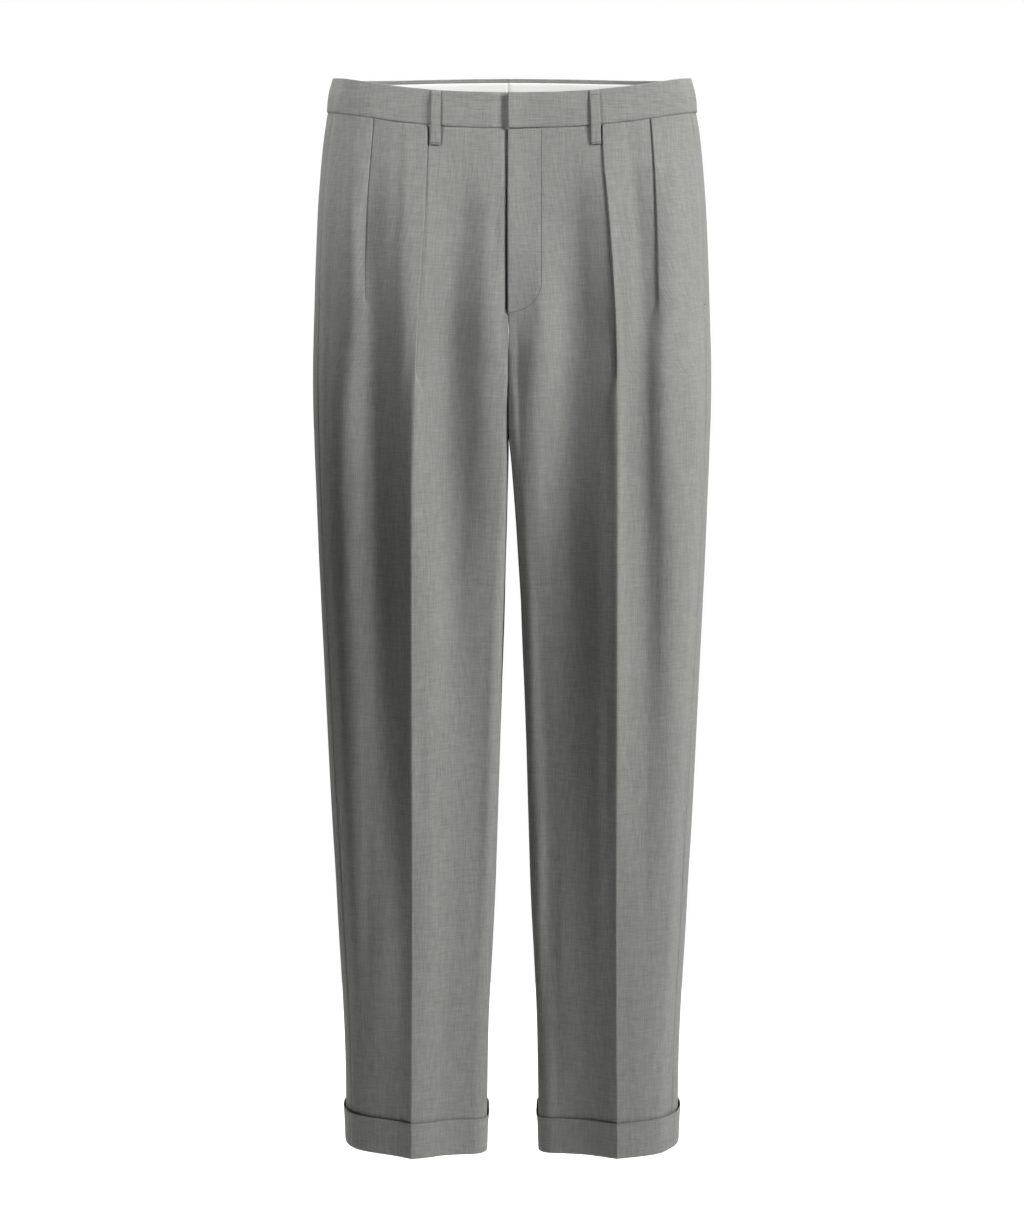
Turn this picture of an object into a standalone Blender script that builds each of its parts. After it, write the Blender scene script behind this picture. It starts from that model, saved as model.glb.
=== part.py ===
"""Pleated dress trousers, held open at the waist as if worn.

Frame: metres, +Z up, the wearer's front faces -Y and the wearer's left is +X.
The origin is the middle of the waist opening, half way up the waistband.

Every panel is a grid of points.  A row of the grid is one level of the
garment, a column is a place along the level's outline.  The outline of one
half is four arcs: centre front, front crease, side, back crease, centre back.
"""
import math

import bmesh
import bpy

for old in list(bpy.data.objects):
    bpy.data.objects.remove(old, do_unlink=True)

# ------------------------------------------------------------------ sizes
MM = 0.001
WALL = 1.0 * MM            # cloth panels
BAND_WALL = 1.6 * MM       # waistband, two layers and interlining
THIN_WALL = 0.8 * MM       # lining, facings, fly shield
SEAM_GAP = 0.3 * MM        # between two pieces that meet
LAYER_GAP = 0.35 * MM      # between two layers that lie on each other

BAND_TOP = 17.0 * MM       # at the side
BAND_SEAM = -16.0 * MM
FRONT_DIP = 16.5 * MM      # how far the waist falls at the centre front
BACK_RISE = 3.5 * MM       # how far it climbs at the centre back
FLY_END = -0.202
CROTCH = -0.312
CROTCH_Y = 0.018
HEM = -1.030
CUFF_HEIGHT = 36.0 * MM
SEAM_INSET = 7.5 * MM      # the side seam lies this far inside the outline
LOOP_WIDTH = 9.0 * MM

# One row a level.  outer: half width at the side.  outer_y: depth of that
# point.  front_y, back_y: depth of the creases.  ridge_f, ridge_b: slope of
# the cloth on either side of a crease, degrees.  square: fullness of corners.
# lean: how far the outline has turned towards the side at the crease, degrees.
SECTION_COLUMNS = ("level", "outer", "outer_y", "front_y", "back_y",
                   "ridge_f", "ridge_b", "square", "lean")
SECTIONS = (
    (0.017, 0.1702, 0.000, -0.0885, 0.0850, 2.0, 0.0, 0.72, 8.0),
    (0.000, 0.1742, 0.000, -0.0915, 0.0870, 2.0, 0.0, 0.72, 8.0),
    (-0.016, 0.1763, 0.001, -0.0950, 0.0905, 2.0, 0.0, 0.72, 7.5),
    (-0.032, 0.1791, 0.001, -0.0985, 0.0950, 3.0, 0.0, 0.71, 7.0),
    (-0.060, 0.1824, 0.002, -0.1055, 0.1030, 4.0, 0.0, 0.70, 6.5),
    (-0.100, 0.1860, 0.003, -0.1130, 0.1160, 6.0, 0.0, 0.69, 6.0),
    (-0.150, 0.1888, 0.004, -0.1180, 0.1290, 9.0, 2.0, 0.69, 5.0),
    (-0.200, 0.1908, 0.005, -0.1218, 0.1350, 13.0, 4.0, 0.69, 4.0),
    (-0.250, 0.1920, 0.005, -0.1225, 0.1340, 17.0, 8.0, 0.69, 3.0),
    (-0.300, 0.1919, 0.005, -0.1210, 0.1265, 21.0, 13.0, 0.69, 1.5),
    (-0.350, 0.1907, 0.005, -0.1175, 0.1160, 24.0, 18.0, 0.70, 0.0),
    (-0.450, 0.1873, 0.004, -0.1075, 0.0975, 27.0, 24.0, 0.70, 0.0),
    (-0.550, 0.1830, 0.003, -0.0970, 0.0840, 28.0, 26.0, 0.69, 0.0),
    (-0.650, 0.1789, 0.002, -0.0880, 0.0755, 28.0, 26.0, 0.68, 0.0),
    (-0.800, 0.1720, 0.002, -0.0780, 0.0685, 27.0, 25.0, 0.66, 0.0),
    (-0.950, 0.1657, 0.002, -0.0710, 0.0635, 26.0, 24.0, 0.64, 0.0),
    (-1.034, 0.1652, 0.002, -0.0690, 0.0615, 26.0, 24.0, 0.63, 0.0),
)

# Lines across the panels: the two creases (pleat 1 runs into the crease),
# the second pleat and the back crease, for the wearer's left and right.
LINE_COLUMNS = ("level", "crease_l", "crease_r", "pleat_l", "pleat_r", "back")
LINES = (
    (0.017, 0.0830, 0.0780, 0.1275, 0.1275, 0.0880),
    (-0.042, 0.0847, 0.0791, 0.1312, 0.1310, 0.0890),
    (-0.100, 0.0892, 0.0809, 0.1336, 0.1347, 0.0910),
    (-0.154, 0.0930, 0.0846, 0.1350, 0.1364, 0.0930),
    (-0.219, 0.0964, 0.0880, 0.1353, 0.1372, 0.0950),
    (-0.284, 0.0981, 0.0911, 0.1360, 0.1374, 0.0965),
    (-0.379, 0.0992, 0.0940, 0.1380, 0.1380, 0.0980),
    (-0.572, 0.1002, 0.0955, 0.1420, 0.1400, 0.0985),
    (-0.770, 0.1006, 0.0963, 0.1420, 0.1400, 0.0985),
    (-1.034, 0.1032, 0.0988, 0.1400, 0.1380, 0.0985),
)

# The centre: middle of the body, depth of the two centre seams, and below the
# crotch the half gap between the legs and the depth of the inseam.
CENTRE_COLUMNS = ("level", "middle", "front", "back", "gap", "inseam_y",
                  "lip_l", "lip_r")
CENTRE = (
    (0.017, -0.0037, -0.0935, 0.0925, 0.0007, 0.018, 0.0, 0.0),
    (-0.016, -0.0037, -0.0975, 0.0975, 0.0007, 0.018, 0.0, 0.0),
    (-0.060, -0.0037, -0.1050, 0.1050, 0.0007, 0.018, 0.0, 0.0),
    (-0.100, -0.0037, -0.1105, 0.1120, 0.0007, 0.018, 0.0, 0.0),
    (-0.150, -0.0037, -0.1145, 0.1180, 0.0007, 0.018, 0.0, 0.0),
    (-0.205, -0.0037, -0.1150, 0.1180, 0.0007, 0.018, 0.0, 0.0),
    (-0.312, -0.0035, -0.1040, 0.1100, 0.0008, 0.018, 0.008, 0.005),
    (-0.349, -0.0020, -0.0980, 0.1000, 0.0024, 0.010, 0.009, 0.006),
    (-0.418, -0.0002, -0.0860, 0.1000, 0.0058, 0.000, 0.010, 0.008),
    (-0.487, 0.0008, -0.0755, 0.1000, 0.0088, -0.006, 0.011, 0.010),
    (-0.626, 0.0012, -0.0610, 0.1000, 0.0132, -0.012, 0.012, 0.012),
    (-0.766, 0.0010, -0.0520, 0.1000, 0.0177, -0.016, 0.013, 0.013),
    (-0.909, 0.0008, -0.0450, 0.1000, 0.0246, -0.018, 0.013, 0.013),
    (-1.034, 0.0008, -0.0420, 0.1000, 0.0270, -0.018, 0.013, 0.013),
)

# Pleats.  depth: cloth taken under the fold edge.  lift: height of one layer.
# sink: how far the stack is pressed inwards.  shut: 1 folded, 0 opened out.
PLEAT_COLUMNS = ("level", "depth", "lift", "sink", "shut")
PLEAT_ONE = (
    (-0.016, 0.0150, 0.00137, 0.00137, 1.0),
    (-0.040, 0.0150, 0.00138, 0.00080, 1.0),
    (-0.080, 0.0140, 0.00142, 0.00000, 1.0),
    (-0.140, 0.0115, 0.00150, 0.00000, 1.0),
    (-0.200, 0.0080, 0.00155, 0.00000, 1.0),
    (-0.245, 0.0045, 0.00150, 0.00000, 1.0),
    (-0.285, 0.0030, 0.00130, 0.00000, 0.0),
    (-0.350, 0.0030, 0.00070, 0.00000, 0.0),
    (-0.430, 0.0030, 0.00030, 0.00000, 0.0),
    (-0.940, 0.0030, 0.00000, 0.00000, 0.0),
)
PLEAT_TWO = (
    (-0.016, 0.0140, 0.00137, 0.00137, 1.0),
    (-0.040, 0.0140, 0.00138, 0.00080, 1.0),
    (-0.080, 0.0125, 0.00140, 0.00000, 1.0),
    (-0.130, 0.0090, 0.00145, 0.00000, 1.0),
    (-0.175, 0.0045, 0.00140, 0.00000, 1.0),
    (-0.215, 0.0030, 0.00120, 0.00000, 0.0),
    (-0.290, 0.0030, 0.00060, 0.00000, 0.0),
    (-0.400, 0.0030, 0.00010, 0.00000, 0.0),
    (-1.034, 0.0030, 0.00000, 0.00000, 0.0),
)

PANEL_LEVELS = (-0.0163, -0.030, -0.050, -0.080, -0.110, -0.140, -0.170,
                -0.202, -0.230, -0.255, -0.278, -0.297, -0.3095, -0.3118,
                -0.330, -0.365, -0.430, -0.540, -0.670, -0.820, -0.994,
                -1.0262)
POCKET_LEVELS = PANEL_LEVELS[1:8]
BAND_LEVELS = (-0.0160, 0.0000, 0.0170)
FACING_STEPS = (22, 11, 0)      # mm from the side seam
ARC_STEPS = 26
LIP_STEPS = 8


# ------------------------------------------------------------- interpolation
def smooth(value):
    """0 below 0, 1 above 1, an even ease between."""
    value = min(1.0, max(0.0, value))
    return value * value * (3.0 - 2.0 * value)


def read(table, columns, name, level):
    """Read a column of a table at a level, without overshoot."""
    col = columns.index(name)
    rows = table
    if level >= rows[0][0]:
        return rows[0][col]
    if level <= rows[-1][0]:
        return rows[-1][col]
    i = 0
    while rows[i + 1][0] > level:
        i += 1

    def slope(j):
        if j <= 0 or j >= len(rows) - 1:
            k = 0 if j <= 0 else len(rows) - 2
            return (rows[k + 1][col] - rows[k][col]) / (rows[k + 1][0] - rows[k][0])
        before = (rows[j][col] - rows[j - 1][col]) / (rows[j][0] - rows[j - 1][0])
        after = (rows[j + 1][col] - rows[j][col]) / (rows[j + 1][0] - rows[j][0])
        if before * after <= 0.0:
            return 0.0
        return 2.0 * before * after / (before + after)

    span = rows[i + 1][0] - rows[i][0]
    t = (level - rows[i][0]) / span
    m0, m1 = slope(i) * span, slope(i + 1) * span
    a, b = rows[i][col], rows[i + 1][col]
    return ((2 * t ** 3 - 3 * t ** 2 + 1) * a + (t ** 3 - 2 * t ** 2 + t) * m0
            + (-2 * t ** 3 + 3 * t ** 2) * b + (t ** 3 - t ** 2) * m1)


def dip(x, y, level):
    """The waist falls at the front and climbs at the back; it fades below."""
    fade = smooth((level + 0.215) / 0.185)
    share = min(1.0, abs(x) / 0.176)
    if y < 0.0:
        swell, amount = (1.0 - share ** 2.5) ** 1.3, -FRONT_DIP
    else:
        swell, amount = (1.0 - share * share) ** 2, BACK_RISE
    hem = 0.0025 * (abs(x) - 0.098) / 0.07 * smooth((-0.8 - level) / 0.2)
    return amount * swell * fade + hem


# ------------------------------------------------------------------ outline
def arc(start, start_dir, end, end_dir, full_start, full_end):
    """One quarter of the outline as a cubic curve."""
    dx, dy = end[0] - start[0], end[1] - start[1]
    reach = math.hypot(dx, dy)
    h0 = max(0.22 * reach, full_start * abs(dx * start_dir[0] + dy * start_dir[1]))
    h1 = max(0.22 * reach, full_end * abs(dx * end_dir[0] + dy * end_dir[1]))
    p1 = (start[0] + start_dir[0] * h0, start[1] + start_dir[1] * h0)
    p2 = (end[0] - end_dir[0] * h1, end[1] - end_dir[1] * h1)
    points = []
    for i in range(ARC_STEPS + 1):
        t = i / ARC_STEPS
        a, b, c, d = (1 - t) ** 3, 3 * t * (1 - t) ** 2, 3 * t * t * (1 - t), t ** 3
        points.append((a * start[0] + b * p1[0] + c * p2[0] + d * end[0],
                       a * start[1] + b * p1[1] + c * p2[1] + d * end[1]))
    return points


def quarter(value, floor_level, top_level, level, seam_depth):
    """Depth of a rise seam where it rounds under the body."""
    t = (top_level - level) / (top_level - floor_level)
    t = min(1.0, max(0.0, t))
    return value + (seam_depth - value) * (1.0 - math.sqrt(max(0.0, 1.0 - t ** 2.4)))


def lipped(x_in, depth_y, lip_y, radius, side, crease, crease_dir, full):
    """Inner front quarter: straight out of the seam, round a lip, flat to the crease."""
    points = []
    if radius > 0.05 * MM:
        points.append((x_in, depth_y))
        for k in range(LIP_STEPS + 1):
            turned = math.pi / 2 * k / LIP_STEPS
            points.append((x_in + side * radius * (1.0 - math.cos(turned)),
                           lip_y + radius * (1.0 - math.sin(turned))))
        if abs(points[0][1] - points[1][1]) < 0.05 * MM:
            points[0] = (x_in, points[1][1] + 0.05 * MM)
    else:
        radius = 0.0
    flat = arc((x_in + side * radius, lip_y), (side, 0.0), crease, crease_dir, full, 0.46)
    return points + flat[1 if points else 0:]


class Outline:
    """The outline of one half of the garment at one level.

    side is +1 for the wearer's left, -1 for the right.  Lengths along the
    outline start at the centre front and end at the centre back.
    """

    def __init__(self, level, side):
        self.level, self.side = level, side
        get = lambda name: read(SECTIONS, SECTION_COLUMNS, name, level)
        mid = read(CENTRE, CENTRE_COLUMNS, "middle", level)
        tag = "l" if side > 0 else "r"
        turn = smooth((-0.195 - level) / 0.100)
        angle = turn * math.pi / 2.0
        edge = SEAM_GAP / 2 + 0.02 * MM + (WALL / 2) * smooth((-0.205 - level) / 0.015)
        lip_y = read(CENTRE, CENTRE_COLUMNS, "front", level)
        if level > CROTCH:
            front_y = lip_y
            back_y = read(CENTRE, CENTRE_COLUMNS, "back", level)
            front_y = quarter(front_y, CROTCH, -0.215, level, CROTCH_Y)
            back_y = quarter(back_y, CROTCH, -0.190, level, CROTCH_Y)
            x_in = mid + side * edge
        else:
            gap = read(CENTRE, CENTRE_COLUMNS, "gap", level)
            front_y = back_y = read(CENTRE, CENTRE_COLUMNS, "inseam_y", level)
            x_in = mid + side * max(edge, gap)
            angle = math.pi / 2.0
        split = SEAM_GAP / 2 if level <= CROTCH else 0.0
        depth = max(0.0, front_y - split - lip_y)
        radius = min(depth, read(CENTRE, CENTRE_COLUMNS, "lip_" + tag, level))
        full = get("square")
        crease = (side * read(LINES, LINE_COLUMNS, "crease_" + tag, level), get("front_y"))
        outer = (side * get("outer"), get("outer_y"))
        back = (side * read(LINES, LINE_COLUMNS, "back", level), get("back_y"))
        lean = get("lean")

        def heading(across, degrees):
            """Flat direction that heads across (+1 outwards) and towards the back."""
            turned = math.radians(degrees)
            return (side * across * math.cos(turned), math.sin(turned))

        back_dir = heading(-1, -math.degrees(angle))
        front_in, front_out = get("ridge_f") - lean, get("ridge_f") + lean
        back_in, back_out = get("ridge_b") - lean, get("ridge_b") + lean
        quarters = (
            lipped(x_in, front_y - split, lip_y, radius, side, crease,
                   heading(1, -front_in), full),
            arc(crease, heading(1, front_out), outer, (0.0, 1.0),
                0.46 + 0.12 * turn, full + 0.12 * turn),
            arc(outer, (0.0, 1.0), back, heading(-1, back_out), full, 0.50),
            arc(back, heading(-1, -back_in), (x_in, back_y + split), back_dir,
                0.50, full + 0.10 * turn),
        )
        self.points, marks = [], []
        for part in quarters:
            self.points += part if not self.points else part[1:]
            marks.append(len(self.points) - 1)
        self.lengths = [0.0]
        for a, b in zip(self.points, self.points[1:]):
            self.lengths.append(self.lengths[-1] + math.hypot(b[0] - a[0], b[1] - a[1]))
        self.crease, self.outer, self.back, self.end = (self.lengths[m] for m in marks)
        self.lip = self.lengths[LIP_STEPS + 1] if radius > 0.05 * MM else 0.0
        self.lip_start = max(0.0, depth - radius)
        self.seam = self.reach_x(abs(outer[0]) - SEAM_INSET, self.crease, self.outer)
        self.pleat = self.reach_x(read(LINES, LINE_COLUMNS, "pleat_" + tag, level),
                                  self.crease, self.outer)

    def reach_x(self, x, low, high):
        """Length along the outline, between low and high, where |x| is reached."""
        for _ in range(40):
            middle = (low + high) / 2
            if abs(self.base(middle)[0]) < x:
                low = middle
            else:
                high = middle
        return (low + high) / 2

    def base(self, s):
        """Point on the outline at a length; straight on beyond either end."""
        import_end = self.lengths[-1]
        if s <= 0.0:
            a, b = self.points[0], self.points[1]
            step = self.lengths[1]
            return (a[0] + (b[0] - a[0]) * s / step, a[1] + (b[1] - a[1]) * s / step)
        if s >= import_end:
            a, b = self.points[-2], self.points[-1]
            step = self.lengths[-1] - self.lengths[-2]
            t = 1.0 + (s - import_end) / step
            return (a[0] + (b[0] - a[0]) * t, a[1] + (b[1] - a[1]) * t)
        low, high = 0, len(self.lengths) - 1
        while high - low > 1:
            middle = (low + high) // 2
            if self.lengths[middle] <= s:
                low = middle
            else:
                high = middle
        t = (s - self.lengths[low]) / (self.lengths[high] - self.lengths[low])
        a, b = self.points[low], self.points[high]
        return (a[0] + (b[0] - a[0]) * t, a[1] + (b[1] - a[1]) * t)

    def at(self, s, out=0.0):
        """Point at a length along the outline and a distance outwards."""
        window = 3.0 * MM
        a, b = self.base(s - window), self.base(s + window)
        size = math.hypot(b[0] - a[0], b[1] - a[1])
        dx, dy = (b[0] - a[0]) / size, (b[1] - a[1]) / size
        p = self.base(s)
        return (p[0] + self.side * dy * out, p[1] - self.side * dx * out)

    def lift(self, point):
        """A flat point of this level as a point in space."""
        return (point[0], point[1], self.level + dip(point[0], point[1], self.level))


# -------------------------------------------------------------------- pleats
def pleat_knots(edge, table, level):
    """(length, out) knots across a pleat whose fold edge faces the fly."""
    get = lambda name: read(table, PLEAT_COLUMNS, name, level)
    depth, h, sink, shut = get("depth"), get("lift"), get("sink"), get("shut")
    r = h / 2
    folded = ((-6 * MM, 0), (depth - r, 0), (depth, h / 2), (depth - r, h),
              (r, h), (0.0, 1.5 * h), (r, 2 * h), (depth + 2 * MM, 2 * h),
              (depth + 20 * MM, 0))
    opened = ((-14 * MM, 0), (-10 * MM, 0.2 * h), (-7 * MM, 0.6 * h),
              (-4.5 * MM, 1.1 * h), (-2 * MM, 1.6 * h),
              (0.0, 1.95 * h), (2.5 * MM, 1.85 * h), (9 * MM, 1.3 * h), (24 * MM, 0))
    knots = []
    for f, o in zip(folded, opened):
        s = edge + o[0] + (f[0] - o[0]) * shut
        drop = 1.0 if 0 < len(knots) < 8 else 0.0
        knots.append((s, o[1] + (f[1] - o[1]) * shut - sink * drop))
    return knots


def fly_lift(side, s, level):
    """The wearer's left front laps over the right along the fly."""
    if side < 0:
        return 0.0
    return 0.8 * MM * (1.0 - smooth(s / (14 * MM))) * smooth((level - FLY_END + 0.012) / 0.012)


def front_knots(outline):
    """(length, out) knots of a front panel, centre to side seam."""
    side, level = outline.side, outline.level
    first = pleat_knots(outline.crease, PLEAT_ONE, level)
    second = pleat_knots(outline.pleat, PLEAT_TWO, level)
    start = 0.6 * MM if side < 0 and level > FLY_END else 0.0
    stop = first[0][0]
    flat = 1.0 - smooth(outline.lip / (20 * MM))
    a = outline.lip_start + 5.6 * MM * flat
    b = outline.lip + 14.0 * MM * flat
    middle = outline.lip_start + (outline.lip - outline.lip_start) * 0.55 + 10.0 * MM * flat
    knots = [(s, fly_lift(side, s, level))
             for s in (start, a, middle, b, b + (stop - b) * 0.31, b + (stop - b) * 0.66)]
    knots += first
    a, b = first[-1][0], second[0][0]
    if b - a < 1 * MM:                       # keep the two folds apart
        middle = (a + b) / 2
        knots[-1] = (middle - 0.5 * MM, 0.0)
        second[0] = (middle + 0.5 * MM, 0.0)
    else:
        knots.append(((a + b) / 2, 0.0))
    if len(knots) == 6 + len(first):
        knots.append((knots[-1][0] + 0.5 * MM, 0.0))
    knots += second
    last = outline.seam - SEAM_GAP / 2
    a, b = second[-1][0], last - FACING_STEPS[0] * MM
    if a > b - 1 * MM:
        knots[-1] = (b - 1 * MM, 0.0)
    knots += [(last - step * MM, 0.0) for step in FACING_STEPS]
    return knots


# ---------------------------------------------------------------- mesh tools
def offset(path, side, wall):
    """Both faces of a wall whose middle follows a flat path."""
    outer, inner = [], []
    for i, p in enumerate(path):
        before = path[max(0, i - 1)]
        after = path[min(len(path) - 1, i + 1)]
        d0 = (p[0] - before[0], p[1] - before[1]) if i else None
        d1 = (after[0] - p[0], after[1] - p[1]) if i < len(path) - 1 else None
        d0, d1 = d0 or d1, d1 or d0
        n0, n1 = math.hypot(*d0), math.hypot(*d1)
        u = (d0[0] / n0 + d1[0] / n1, d0[1] / n0 + d1[1] / n1)
        size = math.hypot(*u)
        u = (u[0] / size, u[1] / size)
        cosine = max(0.55, u[0] * d1[0] / n1 + u[1] * d1[1] / n1)
        reach = wall / 2 / cosine
        nx, ny = side * u[1], -side * u[0]
        outer.append((p[0] + nx * reach, p[1] + ny * reach))
        inner.append((p[0] - nx * reach, p[1] - ny * reach))
    return outer, inner


COLLECTION = bpy.data.collections.new("pleated_dress_trousers")
bpy.context.scene.collection.children.link(COLLECTION)


def material(name, colour, roughness):
    """A plain cloth finish."""
    result = bpy.data.materials.new(name)
    result.use_nodes = True
    shader = result.node_tree.nodes["Principled BSDF"]
    shader.inputs["Base Color"].default_value = (*colour, 1.0)
    shader.inputs["Roughness"].default_value = roughness
    return result


WOOL = material("wool_cloth", (0.30, 0.30, 0.29), 0.9)
LINING = material("lining_cloth", (0.80, 0.80, 0.78), 0.7)


def add_body(name, grids, finish, ring=False):
    """A closed body from two matching grids of points, its outer and inner face."""
    mesh = bpy.data.meshes.new(name)
    work = bmesh.new()
    rows, cols = len(grids[0]), len(grids[0][0])
    layers = [[[work.verts.new(p) for p in row] for row in grid] for grid in grids]
    outer, inner = layers
    last = cols if ring else cols - 1
    for i in range(rows - 1):
        for j in range(last):
            k = (j + 1) % cols
            work.faces.new((outer[i][j], outer[i][k], outer[i + 1][k], outer[i + 1][j]))
            work.faces.new((inner[i][k], inner[i][j], inner[i + 1][j], inner[i + 1][k]))
    for j in range(last):
        k = (j + 1) % cols
        work.faces.new((outer[0][k], outer[0][j], inner[0][j], inner[0][k]))
        work.faces.new((outer[-1][j], outer[-1][k], inner[-1][k], inner[-1][j]))
    if not ring:
        for i in range(rows - 1):
            work.faces.new((outer[i][0], outer[i + 1][0], inner[i + 1][0], inner[i][0]))
            work.faces.new((outer[i + 1][-1], outer[i][-1], inner[i][-1], inner[i + 1][-1]))
    bmesh.ops.triangulate(work, faces=work.faces[:])
    bmesh.ops.recalc_face_normals(work, faces=work.faces[:])
    work.to_mesh(mesh)
    work.free()
    obj = bpy.data.objects.new(name, mesh)
    COLLECTION.objects.link(obj)
    mesh.materials.append(finish)
    return obj


def add_sheet(name, side, levels, knots_of, wall, finish):
    """A cloth piece over some levels; knots_of gives (length, out) pairs."""
    outer, inner = [], []
    for level in levels:
        outline = Outline(level, side)
        path = [outline.at(s, out) for s, out in knots_of(outline)]
        face, back = offset(path, side, wall)
        outer.append([outline.lift(p) for p in face])
        inner.append([outline.lift(p) for p in back])
    return add_body(name, (outer, inner), finish)


# -------------------------------------------------------------------- pieces
def back_knots(outline):
    """(length, out) knots of a back panel, side seam to centre back."""
    a = outline.seam + SEAM_GAP / 2
    knots = [(a, 0.0), (a + 6 * MM, 0.0)]
    knots += [(a + (outline.outer - a) * t, 0.0) for t in (0.55, 1.0)]
    a, b, c = outline.outer, outline.back, outline.end
    knots += [(a + (b - a) * t, 0.0) for t in (0.3, 0.6, 0.82, 1.0)]
    knots += [(b + (c - b) * t, 0.0) for t in (0.18, 0.4, 0.65, 0.85, 1.0)]
    return knots


def facing_knots(outline):
    """The pocket facing lies under the front panel and the seam."""
    out = -(WALL / 2 + LAYER_GAP + THIN_WALL / 2)
    last = outline.seam - SEAM_GAP / 2
    ahead = [(last - step * MM, out) for step in FACING_STEPS]
    return ahead + [(outline.seam + SEAM_GAP / 2 + 6 * MM, out)]


def steps(start, stop, count):
    """Even steps from one length to another, the first left out."""
    return [start + (stop - start) * (i + 1) / count for i in range(count)]


def band_stops(outline):
    """Lengths along the waistband: the front part and the back part."""
    front = steps(14 * MM, outline.crease, 6) + steps(outline.crease, outline.outer, 9)
    back = steps(outline.outer, outline.back, 9) + steps(outline.back, outline.end, 6)
    back[-1] = outline.end - 0.02 * MM
    return front, back


def band_knots(outline):
    """Waistband from the overlap at the front to the centre back."""
    out = 0.6 * MM
    front, back = band_stops(outline)
    knots = [(s, out) for s in front + back]
    if outline.side > 0:
        return [(0.0, 1.0 * MM), (7 * MM, 0.8 * MM)] + knots
    return [(8 * MM, -0.6 * MM), (14 * MM, 0.3 * MM)] + knots


def lining_knots(outline):
    """White lining inside the back half of the waistband."""
    out = 0.6 * MM - BAND_WALL / 2 - LAYER_GAP - THIN_WALL / 2
    front, back = band_stops(outline)
    stops = front[-3:] + back
    stops[-1] -= 0.3 * MM
    return [(s, out) for s in stops]


def add_right_band():
    """The wearer's right waistband, with the tab that runs under the left one."""
    tab_out = 0.6 * MM - BAND_WALL / 2 - LAYER_GAP - BAND_WALL / 2
    outer, inner = [], []
    for level in BAND_LEVELS:
        left, right = Outline(level, 1), Outline(level, -1)
        path = [left.at(s * MM, tab_out) for s in (32, 24, 16, 8, 2)]
        path += [right.at(2 * MM, tab_out)]
        path += [right.at(s, out) for s, out in band_knots(right)]
        face, back = offset(path, -1, BAND_WALL)
        outer.append([right.lift(p) for p in face])
        inner.append([right.lift(p) for p in back])
    add_body("waistband_right", (outer, inner), WOOL)


def add_fly_shield():
    """The shield sewn to the right front, lying under the left one."""
    out = -(WALL / 2 + LAYER_GAP + THIN_WALL / 2)
    outer, inner = [], []
    for level in (-0.0168, -0.050, -0.085, -0.120, -0.155, -0.185, -0.2):
        left, right = Outline(level, 1), Outline(level, -1)
        narrow = 1.0 - 0.35 * smooth((-0.15 - level) / 0.05)
        stop = pleat_knots(left.crease, PLEAT_ONE, level)[0][0]
        path = [left.at(stop * t * narrow, out) for t in (0.45, 0.2, 0.08, 0.01)]
        path += [right.at(s * MM, out) for s in (2, 5, 8)]
        face, back = offset(path, -1, THIN_WALL)
        outer.append([left.lift(p) for p in face])
        inner.append([left.lift(p) for p in back])
    add_body("fly_shield", (outer, inner), WOOL)


def add_cuff(name, side):
    """Turn-up: the cloth folds out under the leg and stands 36 mm high."""
    face_out = WALL / 2 + LAYER_GAP
    profile = (                       # (out, level, wall face)
        (face_out, HEM + CUFF_HEIGHT), (face_out, HEM + 0.0034),
        (-face_out, HEM + 0.0034), (-face_out, HEM + 0.013),
        (-face_out - WALL, HEM + 0.013), (-face_out - WALL, HEM + 0.0008),
        (-face_out - WALL + 0.8 * MM, HEM), (face_out + WALL - 0.8 * MM, HEM),
        (face_out + WALL, HEM + 0.0008),
        (face_out + WALL, HEM + CUFF_HEIGHT))
    rings = []
    for out, level in profile:
        outline = Outline(level, side)
        stops = [s for s, _ in front_knots(outline)[:-1] + back_knots(outline)[:-1]]
        rings.append([outline.lift(outline.at(s, out)) for s in stops])
    mesh = bpy.data.meshes.new(name)
    work = bmesh.new()
    verts = [[work.verts.new(p) for p in ring] for ring in rings]
    for i in range(len(verts)):
        a, b = verts[i], verts[(i + 1) % len(verts)]
        for j in range(len(a)):
            k = (j + 1) % len(a)
            work.faces.new((a[j], a[k], b[k], b[j]))
    bmesh.ops.triangulate(work, faces=work.faces[:])
    bmesh.ops.recalc_face_normals(work, faces=work.faces[:])
    work.to_mesh(mesh)
    work.free()
    obj = bpy.data.objects.new(name, mesh)
    COLLECTION.objects.link(obj)
    mesh.materials.append(WOOL)


# Belt loops: side, which part of the outline, |x| at the top and the bottom.
LOOPS = (
    ("loop_front_left", 1, "front", 0.0762, 0.0782),
    ("loop_front_right", -1, "front", 0.0703, 0.0708),
    ("loop_side_left", 1, "back", 0.1560, 0.1590),
    ("loop_side_right", -1, "back", 0.1560, 0.1590),
    ("loop_back_left", 1, "back", 0.0560, 0.0565),
    ("loop_back_right", -1, "back", 0.0560, 0.0565),
)
# (level, out) along a loop: it is caught at both ends and stands off between.
LOOP_LINE = ((0.0163, 2.40), (0.0120, 2.55), (0.0060, 3.30), (-0.0030, 3.80),
             (-0.0120, 3.30), (-0.0190, 2.40), (-0.0245, 1.60), (-0.0295, 1.50))


def find_x(outline, x, where):
    """Length along the front or the back of an outline where |x| is met."""
    if where == "front":
        return outline.reach_x(x, 0.0, outline.outer)
    low, high = outline.outer, outline.end
    for _ in range(40):
        middle = (low + high) / 2
        if abs(outline.base(middle)[0]) > x:
            low = middle
        else:
            high = middle
    return (low + high) / 2


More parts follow.
